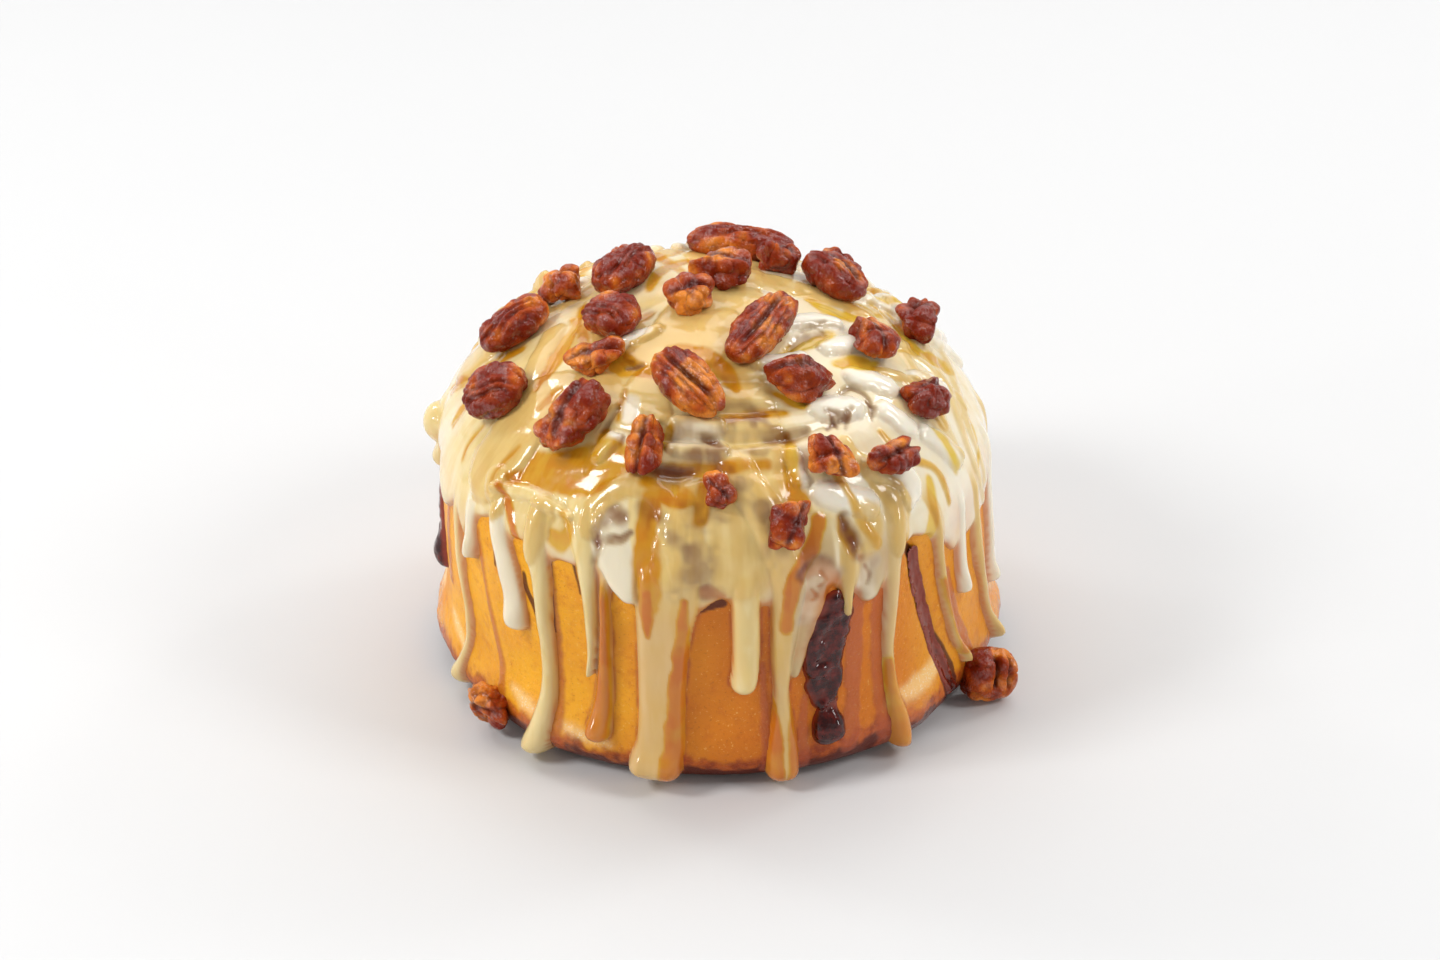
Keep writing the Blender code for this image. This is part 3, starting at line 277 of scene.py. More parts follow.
# Tan glaze poured over the dome, which sets with rounded edges.
POURS = (
    ((-102, 25.5, 4.0), (-82, 26, 4.5), (-66, 31, 4.0)),
    ((-85, 36, 3.0), (-70, 44, 3.4), (-57, 53, 7.0), (-56, 63, 9.0)),
    ((-39.5, 39, 6.0), (-52, 43.5, 7.5), (-56, 51, 8.5), (-56, 66, 7.0)),
    ((-120, 32, 5), (-104, 44, 7), (-98, 58, 7)),
    ((166, 24, 6.0), (8.5, 6.5, 10.0), (-8.5, 15, 11.0), (-21, 23, 8.0), (-38, 25.5, 3.5)),
    ((-24, 34, 5.5), (-15, 41, 2.4)), ((-2.5, 58.5, 3.6), (-5.5, 65, 4.0), (-4, 73, 4.6)),
    ((-25.5, 68, 2.4), (-24.5, 62, 2.7), (-18, 57.5, 2.8), (-11, 60, 2.6), (-8, 66, 3.2), (-8, 74, 4.0)),
    ((-37, 68, 3.4), (-38, 76, 3.0)), ((-49, 72, 2.0), (-52, 66, 3.0)),
    ((140, 10, 6), (112, 22, 4.5), (102, 36, 2.6)),
    ((36, 52, 2.0), (38, 58, 2.4), (42, 68, 3.0), (40.5, 76, 2.6)),
    ((66, 42, 1.6), (72, 50, 2.0), (69, 60, 2.0)),
    ((-172, 44, 6.0), (-160, 34, 6.0), (-140, 28, 5.0), (-112, 30, 3.5)),
    ((150, 42, 4.0), (165, 34, 6.0), (-178, 26, 6.0)),
)

# Broad tan glaze down the front, which sinks into the turns of the roll under it.
SHEETS = (
    ((9.5, 15, 6.0), (12, 26, 5.5), (13, 36, 6.0), (11, 46, 7.4), (9, 55, 8.5), (7, 64, 8.0),
        (6, 74, 6.5)),
    ((33, 66.5, 1.9), (35, 69.5, 2.6), (33.5, 73.5, 1.9), (31, 74.5, 0.9)),
)

# Thin strands of tan glaze that cross the white frosting on the right.
STRANDS = (
    ((48, 53, 0.8), (50, 60, 0.9), (57, 66, 1.0), (58, 74, 0.9)),
    ((30, 57, 1.0), (31.5, 66, 1.0), (35, 74, 1.2)),
)

# Wide soft bands of thinner glaze on the right-hand side.
BANDS = (
    ((131.5, 51.5, 1.2), (111, 50.5, 1.5), (92, 54, 1.8), (78.5, 62, 1.8), (73, 72, 1.5),
        (77.5, 87.5, 1.0)),
    ((116, 41, 1.2), (95.5, 42.5, 1.4), (79.5, 49, 1.8), (72, 58, 1.8), (67, 69, 1.4)),
    ((88, 44.5, 1.2), (103.5, 57, 1.4), (90.5, 60, 1.8), (78.5, 67.5, 1.8), (78, 80, 1.1)),
    ((121, 30, 1.0), (104, 33, 1.6), (96, 40, 1.8), (86, 52, 1.8), (84, 64, 1.4)),
    ((66, 52, 0.9), (66.5, 58, 1.8), (66.5, 63.5, 1.8), (67.5, 68, 1.0)),
)

# Caramel that ran down last, over the glaze and its drips.
LATE_CARAMELS = (
    ((-12, 79, 1.2), (-12, 84, 1.5), (-12, 89.5, 0.6)),
    ((23, 66, 1.6), (21, 70.5, 1.8), (17.5, 74.5, 2.0), (15.5, 79.5, 1.9), (14.5, 88, 1.2)),
    ((-4.8, 80, 0.8), (-5.4, 88, 1.4), (-6.2, 98, 2.0), (-7.2, 110, 2.3), (-8, 119, 2.6),
        (-8.4, 127, 2.8)),
    ((37.3, 104, 0.9), (37.8, 112, 1.7), (38.7, 118.5, 2.6), (40.2, 127, 3.2)),
    ((17.5, 102, 0.8), (16, 110, 1.5), (16, 119, 2.2), (15.8, 127, 2.4)),
    ((10.8, 102, 0.7), (11, 110, 1.3), (11.3, 119, 2.0), (11.3, 127, 2.2)),
    ((-49.5, 66.5, 0.6), (-44.5, 72, 1.1), (-41, 80, 0.9), (-40, 87, 0.6)),
    ((100, 76, 0.8), (98.8, 88, 1.0), (98.5, 105, 1.8)), ((55, 92, 0.8), (57, 101, 0.9), (61, 114, 1.0)),
)

# Gaps in the glaze through which the white frosting shows.
WINDOWS = (((-28.6, 37.8, 1.0), (-26.3, 39.6, 2.1), (-25.2, 42, 1.9)), ((-48, 23, 1.0), (-42.5, 20, 1.2)))

# Caramel that settled between the nuts and round them.
POOLS = (
    ((-98, 29.6, 0.7), (-84.6, 30.4, 1.2), (-75.6, 33.4, 1.7), (-68.5, 37.9, 1.8), (-64.3, 42.3, 1.4),
        (-61, 46, 0.6)),
    ((-49.6, 27.4, 1.0), (-39.4, 29.2, 1.9), (-30.1, 30.5, 1.8), (-22.2, 31.4, 0.8)),
    ((-23.3, 22.8, 0.7), (-14.9, 22.1, 1.1), (-7.2, 22.9, 0.9)),
    ((-106.2, 14.2, 0.8), (-126.3, 15.5, 1.6), (-143.1, 17.2, 2.0), (-157.7, 19.2, 1.8),
        (-167.2, 21.2, 1.0)),
    ((-61.5, 18.8, 0.8), (-61, 16.5, 1.4), (-62, 14.5, 0.6)),
    ((98.3, 22.2, 0.7), (96.1, 26.3, 1.3), (92.7, 30.9, 1.5), (91.7, 34.3, 0.6)),
    ((114, 37.5, 0.6), (109.3, 41, 0.9), (101, 43.6, 1.0), (94.4, 46.1, 0.9), (92, 48, 0.6)),
    ((37.7, 25.6, 0.7), (46.6, 25.8, 1.3), (57.9, 26.7, 1.5), (70.1, 28.2, 0.9)),
    ((55.4, 34.8, 0.8), (58.7, 37.3, 1.7), (64, 39.7, 1.7), (70.3, 40.5, 0.6)),
    ((22.3, 46.7, 0.6), (20.8, 50.1, 1.4), (19.8, 54.2, 1.8), (19, 57.7, 1.2)),
    ((-7, 23.5, 1.6), (0.9, 26.2, 2.4), (7.4, 30.1, 2.2), (9.7, 33.8, 1.0)),
    ((-102.4, 45.8, 0.7), (-92.8, 46.8, 0.9), (-87.6, 50, 0.8)),
    ((-54, 42.3, 0.8), (-54.6, 44.4, 1.2), (-54.2, 48.5, 0.7)),
    ((-30.4, 46.9, 0.9), (-29.7, 50.5, 1.5), (-30.2, 53.8, 1.5), (-30.6, 56.7, 0.8)),
    ((-2.4, 53.1, 0.8), (-0.9, 55.3, 1.3), (-1.8, 59.6, 1.6), (-2.1, 63.7, 1.4)),
    ((-31.2, 36.5, 0.5), (-30.2, 40, 0.6), (-28.5, 43.5, 0.6)), ((-12, 44, 1.0), (-12.5, 48, 1.1)),
    ((14, 52.5, 1.2), (2, 53, 1.5), (-10, 53.5, 1.6)), ((6, 41, 1.6), (15, 40.5, 1.4), (24, 41, 1.2)),
    ((-15, 56.5, 1.4), (-11.5, 58, 2.3), (-7.5, 59, 2.8), (-4.5, 59.5, 1.6)),
    ((21, 50, 1.2), (20, 53.5, 1.4), (19, 57, 1.2), (18.5, 59.5, 0.7)),
    ((-48.5, 64.5, 1.2), (-42.5, 61.5, 2.3), (-35.5, 60.5, 2.8), (-28, 59, 2.8), (-23.5, 56, 1.6)),
    ((-83, 61.5, 0.8), (-82, 64, 1.4), (-82, 67, 0.8)),
    ((-90.5, 60, 0.6), (-94, 63.5, 1.0), (-97.5, 67.5, 0.6)),
    ((-68.5, 60, 0.5), (-68.5, 65.5, 0.6), (-67.5, 68.5, 0.5)),
    ((-51, 58, 0.4), (-52.5, 63, 0.5), (-52, 67, 0.4)),
    ((28, 66.5, 0.6), (28, 69, 1.4), (29, 72.5, 1.6), (29, 74.5, 0.7)),
    ((99.5, 44.5, 1.0), (93, 47.5, 1.4), (90.5, 50, 2.2), (91.5, 54, 2.6), (91.5, 58, 1.4)),
    ((107, 32.5, 0.9), (105.5, 36.5, 1.6), (103, 40.5, 1.2)),
    ((81, 66.5, 0.7), (79, 70.5, 0.9), (74, 75, 0.7)),
    ((-154, 29, 0.9), (-152, 20.5, 1.6), (-148, 11, 0.9)),
    ((-89.5, 31.5, 0.9), (-77, 30, 1.4), (-65, 31, 0.9)),
    ((-13, 60, 2.4), (-13, 68.5, 2.5), (-12, 77, 3.0), (-12, 84, 1.9), (-12, 89.5, 0.6)),
)

# Small dark specks and threads of filling.
SPECKS = (
    ((-3.4, 45.3, 0.6), (-1.1, 45.7, 0.9), (1.6, 46.1, 0.6)),
    ((42.1, 45.6, 0.4), (40.9, 47.5, 0.6), (38.8, 49, 0.3)),
    ((60.6, 23.3, 0.4), (68.5, 24.5, 0.6), (74.7, 26.3, 0.3)),
    ((50.9, 45.4, 0.3), (51.1, 47.8, 0.4), (47.6, 49.8, 0.3)),
    ((-38, 30.5, 0.4), (-34, 29.5, 0.8), (-31, 29, 0.5)), ((36.5, 45.5, 0.4), (37, 48, 0.5)),
    ((-2, 45, 0.6), (0, 46.5, 1.0), (2, 47.5, 0.9), (3, 48, 0.4)),
    ((40, 47, 0.6), (41.5, 46.5, 0.8), (44, 45.5, 0.5)),
    ((34, 47.5, 0.5), (36.5, 47, 0.7), (38.5, 47, 0.5)),
    ((22, 76.5, 0.4), (23, 78.5, 0.6), (21.5, 79.5, 0.4)), ((20, 80, 0.3), (21, 82, 0.5), (20, 83, 0.3)),
    ((31.5, 77.5, 0.4), (32.5, 80, 0.6), (32, 82, 0.4)),
    ((-22.5, 71, 0.7), (-20.5, 69.5, 1.2), (-18, 69, 0.9), (-16.5, 67.5, 0.7)),
)

# Grey-brown smudges where the glaze is thin over the filling.
SMUDGES = (
    ((-15.3, 61.6, 2.0), (-11.6, 64.3, 2.4), (-8.4, 69, 2.2)),
    ((-4.4, 60.7, 1.8), (-2, 65.8, 2.4), (-3.9, 71.7, 2.4), (-5.7, 77.9, 1.8)),
    ((-9, 44.8, 1.2), (2, 45.6, 1.4)), ((-8, 49.6, 1.6), (3, 50.3, 1.8)),
    ((-10, 41.6, 1.2), (0, 42, 1.4)), ((8, 43.5, 1.6), (16, 43.5, 1.8), (24, 44.5, 1.4)),
    ((8, 50.5, 1.4), (17, 51, 1.6)), ((2, 40.5, 2.2), (12, 40, 2.4), (24, 41.5, 2.2)),
    ((3, 47, 1.8), (12, 47.5, 2.0), (22, 47.5, 1.8)), ((-4, 36, 2.4), (4, 33, 2.4)),
    ((-42, 51, 1.6), (-38, 55, 1.6)), ((15, 60, 1.8), (13, 66, 2.0), (12, 73, 1.8)),
    ((40, 60, 1.6), (43, 67, 2.2)), ((-24, 48, 1.6), (-20, 42, 1.8)),
    ((24, 80, 2.0), (22, 87, 2.0), (20, 94, 1.4)), ((-3, 50, 2.6), (6, 56, 3.4), (12, 63, 2.6)),
    ((-1, 62, 1.2), (1.5, 63.5, 1.4), (3.5, 64.5, 0.9)), ((-7, 67, 1.4), (-5, 68, 1.9), (-4, 70, 1.2)),
    ((1.5, 67.5, 0.9), (0.5, 71, 1.4), (-1, 74, 1.9), (-3, 76, 1.2)),
    ((5.5, 39, 1.4), (12.5, 41, 2.3), (21.5, 43, 2.6)),
)

# Frosting thin enough for the filling under it to show mauve and grey.
VEILS = (
    ((-11.5, 46.5, 1.9), (-5.5, 45.5, 2.8), (0.5, 46, 2.3)),
    ((25.5, 77.5, 1.4), (22, 78, 2.8), (20, 81.5, 2.8), (18.5, 86.5, 2.1)),
    ((34, 77.5, 1.4), (32, 79, 2.1), (32, 83.5, 2.1), (33.5, 88, 1.4)),
    ((-22, 66.5, 0.7), (-20.5, 65, 1.2), (-18.5, 65.5, 0.9)),
)

# Red-brown patches where filling and caramel have run together.
PATCHES = (
    ((-17, 54.5, 0.9), (-13, 54, 1.9), (-9, 54.5, 2.1), (-5, 55, 1.4), (-3, 55, 0.7)),
    ((15.5, 47, 0.7), (19.5, 47.5, 0.9), (24, 47.5, 0.9), (27.5, 47.5, 0.6)),
    ((28, 66.5, 0.5), (28, 69, 1.2), (29, 72.5, 1.4), (29, 74.5, 0.7)),
    ((-23.5, 70, 0.9), (-23, 67.5, 1.6), (-21.5, 65, 1.9), (-18.5, 64, 1.2)),
)

# Layers over the icing from the lowest: kind, how high it stands, how soft its
# borders are, how much it hides, how blotchy it is, and its streaks.
LAYERS = (
    (WHITE, 1.5, 1.4, 0.95, 0.0, LUMPS), (CREAM, 1.3, 1.4, 0.6, 0.0, RIPPLES),
    (FILLING, -0.4, 1.0, 0.75, 0.5, MARKS), (CARAMEL, -0.1, 0.8, 1.3, 0.25, CARAMELS),
    (TAN, 0.3, 1.3, 0.9, 0.3, SHEETS), (TAN, 0.6, 0.45, 0.95, 0.0, POURS),
    (TAN, 0.35, 0.5, 0.8, 0.0, STRANDS), (CARAMEL, 0.0, 0.6, 0.85, 0.4, STRANDS),
    (TAN, 0.35, 0.9, 0.25, 0.0, BANDS), (CARAMEL, 0.0, 1.2, 0.4, 0.3, BANDS),
    (WHITE, -0.3, 0.6, 0.8, 0.0, WINDOWS), (FILLING, 0.0, 2.0, 0.5, 1.3, SMUDGES),
    (WHITE, 0.0, 1.0, 0.6, 0.0, VEILS), (FILLING, 0.0, 1.2, 0.4, 0.9, VEILS),
    (FILLING, -0.15, 1.0, 0.6, 0.4, PATCHES), (CARAMEL, -0.15, 0.8, 1.4, 0.3, POOLS),
    (FILLING, -0.2, 0.5, 0.8, 0.6, SPECKS), (CARAMEL, 0.12, 0.6, 1.8, 0.15, LATE_CARAMELS),
)
STREAK_ROUNDING = 3.0
STREAK_WOBBLE = ((0.45, 3.0, 9), (0.2, 1.3, 10))
BLOTS = ((1.0, 3.6, 11), (0.4, 1.5, 12))
BLOT_LEVEL = 0.4

# Hidden back and sides: where their streaks begin and how far they run down.
BACK_AZIMUTHS = (112, 254)
BACK_TOPS = (34, 54)
BACK_LENGTHS = (14, 34)
BACK_KNOTS = 4
# Where in its share of the back a streak lies, its width, its belly and its wander.
BACK_PLACES = (0.1, 0.9)
BACK_WIDTHS = (0.7, 1.3)
BACK_BELLY = (0.6, 1.6)
BACK_WANDER = 190
# Layers of the back as above, with seed, number and half-width of their streaks.
BACK_LAYERS = (
    (WHITE, 1.5, 1.4, 0.95, 0.0, 301, 26, 2.8), (FILLING, -0.3, 1.0, 0.75, 0.5, 302, 9, 0.9),
    (CARAMEL, -0.1, 0.8, 1.3, 0.25, 303, 16, 1.9), (TAN, 0.6, 0.45, 0.95, 0.0, 304, 12, 4.2),
    (TAN, 0.35, 0.35, 0.85, 0.0, 305, 7, 1.1), (CARAMEL, 0.12, 0.6, 0.95, 0.15, 306, 6, 1.4),
)

# Streaming of the glaze, which varies its colour: cells to a radian round the side, arc
# of a cell going down it, and the size and seed of its noise on the side and the top.
FLOW_ROUND, FLOW_DOWN = 30, 9
FLOW_SIDE_NOISE = (1.0, 14)
FLOW_TOP_NOISE = (9.0, 15)
FLOW_RISE = (30, 60)
# Thin icing low on the side is clear, but less so under caramel.
CLEAR_DEPTH = (0.3, 1.9)
CLEAR_RISE = (68, 80)
CLEAR_UNDER_CARAMEL = 0.8

# Caramel films on the bare dough, and dark streaks: stains of filling, and painted shade lines under the
# hem and beside the runs.
FILMS = (
    ((-34, 78, 1.0), (-33.5, 95, 1.1), (-33.6, 113, 1.4), (-33.5, 126, 1.9)),
    ((36.5, 76, 1.8), (36, 95, 2.3), (36.3, 112, 2.8), (37, 126, 3.0)),
    ((31, 80, 2.0), (30, 95, 2.2), (29, 110, 2.0), (27.5, 123, 2.0)),
    ((10, 98, 0.6), (10, 112, 1.1), (10.5, 126, 1.6)),
    ((18.5, 108, 0.8), (17.5, 118, 1.6), (17.5, 127, 2.2)),
    ((-56, 80, 0.8), (-53.5, 98, 0.8), (-51, 114, 1.2), (-50, 124, 1.6)),
    ((-74, 82, 1.2), (-75, 104, 1.8)), ((58, 92, 1.2), (61, 106, 1.6), (67, 120, 2.2)),
    ((120, 70, 1.4), (119.5, 106, 2.0), (120.5, 126, 2.8)), ((171.5, 70, 1.6), (172.5, 124, 2.8)),
    ((-124, 70, 1.4), (-124.5, 108, 2.0), (-123, 126, 2.4)),
    ((-157, 70, 1.6), (-156, 108, 1.9), (-155.5, 119, 2.4)), ((142, 70, 1.3), (141, 112, 1.8)),
    ((-100, 70, 1.2), (-101, 104, 1.8)), ((75, 74, 1.0), (80, 112, 1.6)),
)
STAINS_AND_SHADE_LINES = (
    ((-41, 84, 0.6), (-40.5, 88, 0.8), (-38.5, 92.5, 0.8), (-37.5, 99, 0.6)),
    ((-34, 76, 0.7), (-33.7, 86, 0.5), (-33.7, 96, 0.3)),
    ((-51, 75, 0.5), (-50, 80.5, 0.5), (-49.8, 86, 0.4)),
    ((-2, 83, 1.4), (0.5, 81.5, 1.8), (2.5, 82, 1.2)), ((27, 80, 1.6), (31, 81, 1.6), (34, 83, 0.9)),
    ((-28.3, 77, 0.4), (-26.8, 84, 0.3)), ((43.5, 78, 1.2), (45.5, 81, 1.4)),
    ((144.5, 70, 1.2), (144, 86, 1.0)), ((-166, 70, 1.4), (-165.5, 88, 1.0)),
    ((-145, 70, 1.2), (-144, 92, 0.7)), ((49, 96, 0.8), (52, 107, 1.9), (56, 117, 2.9), (58, 124, 3.0)),
)
FILM_SOFT = 0.8
FILM_HEIGHT = 0.22
STAIN_AND_SHADE_SOFT = 0.35
DOUGH_BLOTS = ((0.5, 2.4, 33),)
# Caramel that seeps out beside the runs: where it is strongest, how far it reaches and
# how much of it is there between its blotches.
# Along the runs' edges this seep is also painted shade.
SEEP_AND_SHADE_PLACE = 0.3
SEEP_AND_SHADE_REACH = 0.5
SEEP_AND_SHADE_BLOTCH = 0.6

# Painted highlights: pale, speckled patches on the upper side of the swollen foot.
PAINTED_HIGHLIGHTS = (
    ((37.5, 116, 0.8), (41.5, 115, 1.9), (45.5, 114.5, 2.4), (50, 114, 2.5), (54, 113, 1.2)),
    ((-32, 119, 0.8), (-28.5, 120, 1.9), (-25.5, 120.5, 1.9), (-22.5, 121, 1.0)),
    ((-47, 116.5, 0.6), (-43, 117.5, 1.7), (-40, 118.5, 1.2)),
    ((-75, 113, 0.9), (-70.5, 115, 1.6), (-66.5, 117.5, 0.9)),
    ((88, 114, 1.0), (97, 115, 1.9), (106, 116, 0.9)),
    ((134, 116, 0.9), (142, 117, 1.6), (148, 117, 0.8)),
    ((-156, 116, 1.0), (-148, 117, 1.8), (-140, 117, 0.8)),
    ((-104, 113, 1.0), (-95, 115, 1.8), (-88, 114, 1.0)),
)
PAINTED_HIGHLIGHT_SOFT = 2.2
PAINTED_HIGHLIGHT_WAVES = ((0.8, 3.0, 39),)

# Height of the browned rim round the base by azimuth, and the share of it that is charred.
RIM = (
    (-180, 9), (-120, 8), (-90, 10), (-60, 10), (-45, 10), (-36, 9), (-22, 8.5), (-12, 9), (-4, 9.5),
    (10, 9.5), (20, 11), (32, 11.5), (44, 11.5), (56, 12), (70, 10), (100, 9), (140, 9), (180, 9),
)
RIM_WAVES = ((1.8, 5.0, 37), (1.0, 1.6, 38))
RIM_BORDER = (-1.5, 2.5)
CHAR_SHARE = 0.4
CHAR_BORDER = (-1.6, 0.8)

# Colour of the crust by azimuth, from yellow gold at 0 to brown orange at 1.
# Partly the crust's own tone, partly painted shade that darkens its front and right.
CRUST_TONE_AND_SHADE = (
    (-180, 0.5), (-130, 0.35), (-95, 0.5), (-60, 0.1), (-42, 0.1), (-30, 0.25), (-18, 0.3), (-8, 0.7),
    (6, 0.95), (20, 0.95), (36, 0.9), (48, 0.5), (70, 0.5), (110, 0.6), (150, 0.4), (180, 0.5),
)
TONE_WAVES = ((0.15, 14.0, 34),)

# Roughness of the crust, which has pimples where the foot swells.
CRUST_RELIEF = 0.16
CRUST_NOISE = (6.0, 31)
CRUST_RISE = (70, 76)
CRUST_END = (6, 1)
PIMPLE_HEIGHT = 0.05
PIMPLE_SWOLLEN_HEIGHT = 0.15
PIMPLE_NOISE = (1.4, 36)
SWOLLEN_FULL = 2
BASE_EDGE = 0.2

# Pecans as in the solids: azimuth, arc, length, width, height, heading and seed.
HALF, WHOLE_BACK, CHUNK, RIDGED = "half", "whole back", "chunk", "ridged"
NUT_DEPTH = 1.7
NUT_SINK = 0.14
PECANS = (
    (HALF, 167, 30, 25, 13, 9, 92, 1), (CHUNK, 141, 22.5, 11.5, 7.5, 8, 129, 2),
    (CHUNK, 145, 3.8, 14, 12, 9, 114, 3), (CHUNK, -37, 8.4, 13, 9, 7.5, 142, 4),
    (WHOLE_BACK, -118, 21.2, 18.5, 11.5, 9, 84, 5), (HALF, 115.5, 30.3, 17.5, 12, 9, 102, 6),
    (WHOLE_BACK, -93, 44.2, 17.5, 11.5, 8.5, 23, 7), (CHUNK, -109, 35.3, 11, 8.5, 8, 17, 8),
    (WHOLE_BACK, -67, 22.9, 14, 11.5, 8.5, 117, 9), (CHUNK, -49.6, 33.5, 13, 8, 6.5, 140, 10),
    (HALF, 32, 20.2, 25, 10.4, 8.5, 119, 11), (HALF, -8, 34.2, 21, 11, 8.5, 44, 12),
    (CHUNK, 34, 35, 17, 12.5, 8, 68, 13), (CHUNK, 74, 37, 12.5, 11, 8.5, 120, 14),
    (CHUNK, 101, 48, 12, 10, 8, 136, 15), (CHUNK, 67.5, 53, 13.5, 10, 7.5, 70, 16),
    (WHOLE_BACK, -69, 52.5, 15.5, 13.5, 9.5, 144, 17), (CHUNK, -40.5, 48.8, 20, 13, 9.5, 8, 18),
    (CHUNK, -16.7, 50.4, 14, 9.5, 7.5, 0, 19), (CHUNK, 29, 54.8, 13.5, 9.5, 8, 12, 20),
    (CHUNK, 43.6, 59, 12, 8.5, 7.5, 84, 21), (CHUNK, 1.7, 58.6, 8.5, 7, 5, 38, 22),
    (CHUNK, 16.1, 65.4, 13.5, 10.5, 6.5, 150, 23), (CHUNK, 134, 77, 11, 8.5, 6.5, 30, 26),
    (HALF, 150, 71, 19, 11, 7.5, 70, 27), (CHUNK, 169, 77, 11, 9, 7, 110, 28),
    (CHUNK, 179, 65.5, 9, 7.5, 5, 20, 29), (HALF, -167, 73, 20, 11, 7.5, 115, 30),
    (CHUNK, -151, 67, 10, 8, 5.5, 60, 31), (CHUNK, -146, 80, 12, 9, 7, 100, 32),
    (CHUNK, -132, 76, 11, 9, 6.5, 50, 33), (CHUNK, 160, 61, 8, 6.5, 4.5, 15, 34),
    (CHUNK, 164, 47, 12, 9.5, 7, 60, 35), (CHUNK, 141, 48, 11, 9, 7, 120, 36),
    (CHUNK, 179, 53, 10, 8, 5.5, 140, 37),
)
# Foot pecans: azimuth, the way they face, radius and height of the middle, then as above.
FOOT_PECANS = (
    (CHUNK, -51.8, -51.8, 64.6, 7.3, 13, 10.5, 9, 80, 24),
    (RIDGED, 67.6, 20, 67.4, 6.6, 12.4, 11.6, 9.5, 82, 25),
)
NUT_GRID = (92, 58)
LOWEST_NUT = 0.3
SQUARENESS = 2.4
BOXY_SQUARENESS = 3.4
NUT_TOP = (-0.1, 0.5)
HOLLOW_FULL = 0.24
# A half: depth and width of its cleft, and the grooves beside it as place and depth.
CLEFT_DEPTH = 0.38
BACK_CLEFT_DEPTH = 0.12
CLEFT_WIDTH = 0.17
CLEFT_SHALLOW = 0.6
SIDE_GROOVES = ((0.42, 0.15), (0.72, 0.16))
SIDE_GROOVE_WIDTH = 0.09
CLEFT_BEND, CLEFT_BEND_RATE = 0.1, 2.4
SIDE_GROOVE_SWAY, SIDE_GROOVE_SWAY_RATE = 0.06, 5
CROSS_WRINKLE, CROSS_WRINKLE_RATE = 0.035, 9
# A broken piece: flat faces snapped off it, its knobs, and its creases as depth,
# how far off the middle they may lie, and width.
CHIP_COUNT = 7
CHIP_RANGE = (0.6, 0.9)
CHIP_ROUNDING = 0.8
KNOBS = (0.24, 0.2, 0.16, -0.26, -0.2)
KNOB_TIGHTNESS = 6
CHUNK_SLANT = 0.4
LONG_CREASE = (0.22, 0.3, 0.2)
CROSS_CREASE = (0.14, 0.4, 0.14)
# Grooves of the boxy nut along its length, and how far down its face they run.
RIDGES = (0.02, 0.6)
RIDGE_HALF_WIDTH = 0.1
RIDGE_FOOT = (-0.5, -0.1)
# Depth of the grooves and rise of the lobes: a broken piece is knobby, a half grooved.
HALF_RELIEF = (0.6, 0.7)
CHUNK_RELIEF = (0.35, 1.5)
# Wrinkles of a nut: size of each noise and what is added to the nut's own seed, then
# how far it is warped, how sharp or high it is, and where one gives way to another.
WARP_SIZE, WARP_SEEDS = 3.4, (50, 60, 70)
WRINKLE_SIZE, WRINKLE_SEED, WRINKLE_WARP, WRINKLE_SHARPNESS = 2.3, 80, 0.8, 3.2
WRINKLE_STRETCH = (0.34, 1, 1)
FOLD_SIZE, FOLD_SEED, FOLD_WARP, FOLD_SHARPNESS, FOLD_SHARE = 6.5, 85, 1.2, 4.0, 0.8
PATCH_SIZE, PATCH_SEED, PATCH_BORDER = 4.5, 88, (-0.2, 0.4)
SUGAR_SIZE, SUGAR_SEED, SUGAR_HEIGHT = 1.5, 90, 0.16
LOBE_SIZE, LOBE_SEED, LOBE_WARP, LOBE_POWER, LOBE_LEVEL = 3.8, 95, 0.6, 0.8, 0.35
VALLEY_BORDER = (0.0, 0.22)
# How roasted a nut is by place, and how much paler than the rest it is by its number.
ROAST_WAVES = ((0.7, 6.0, 97), (0.4, 2.4, 98))
PALER = {4: 0.35, 8: 0.35, 10: 0.3, 11: 0.15, 12: 0.1, 17: -0.1, 18: -0.15, 20: 0.1, 24: 0.45, 25: 0.2}
# Painted shade: how much darker a nut is in its folds, grooves and cleft.
FOLD_PAINTED_SHADE = 0.75

# Cinnamon filling that has run out of the roll: azimuth, arc and half-width down each run.
CINNAMON_DEPTH = 1.7
CINNAMON = {
    "cinnamon_run_front": ((26.3, 86.3, 4.0), (25, 90.2, 4.8), (23.4, 94.6, 5.1), (22.5, 102.1, 4.8),
                           (22.7, 108, 3.6), (23.2, 111.2, 2.2), (23.1, 114.4, 3.4), (22.9, 117.2, 3.7)),
    "cinnamon_run_right": ((46.2, 81.5, 1.1), (47, 87, 1.3), (50, 100, 1.4), (52.5, 109.5, 1.6),
                           (56.5, 119.5, 1.8), (59.0, 123.5, 1.6)),
    "cinnamon_run_left": ((-84, 82.5, 1.6), (-84.5, 92, 2.0), (-85, 99, 3.0), (-85, 104, 3.0)),
}
# Its net: spacing in degrees and in arc, and the margins beside, above and below the run.
CINNAMON_GRID = (0.3, 0.35)
CINNAMON_MARGINS = (7, 4, 5)
CINNAMON_KEPT = -0.3
CINNAMON_ROUNDING = 2.8
CINNAMON_EDGE = ((0.5, 2.4, 41),)
CINNAMON_GRAINS = ((0.55, 3.0, 43), (0.25, 1.4, 44))
GRAIN_BORDER = (0, 1.2)
GRAIN_END = (5, 2)
# Its drop: how much it swells, how far before the tip and over what length.
DROP_SWELL = 1.0
DROP_PLACE = 1
DROP_LENGTH = 3.5

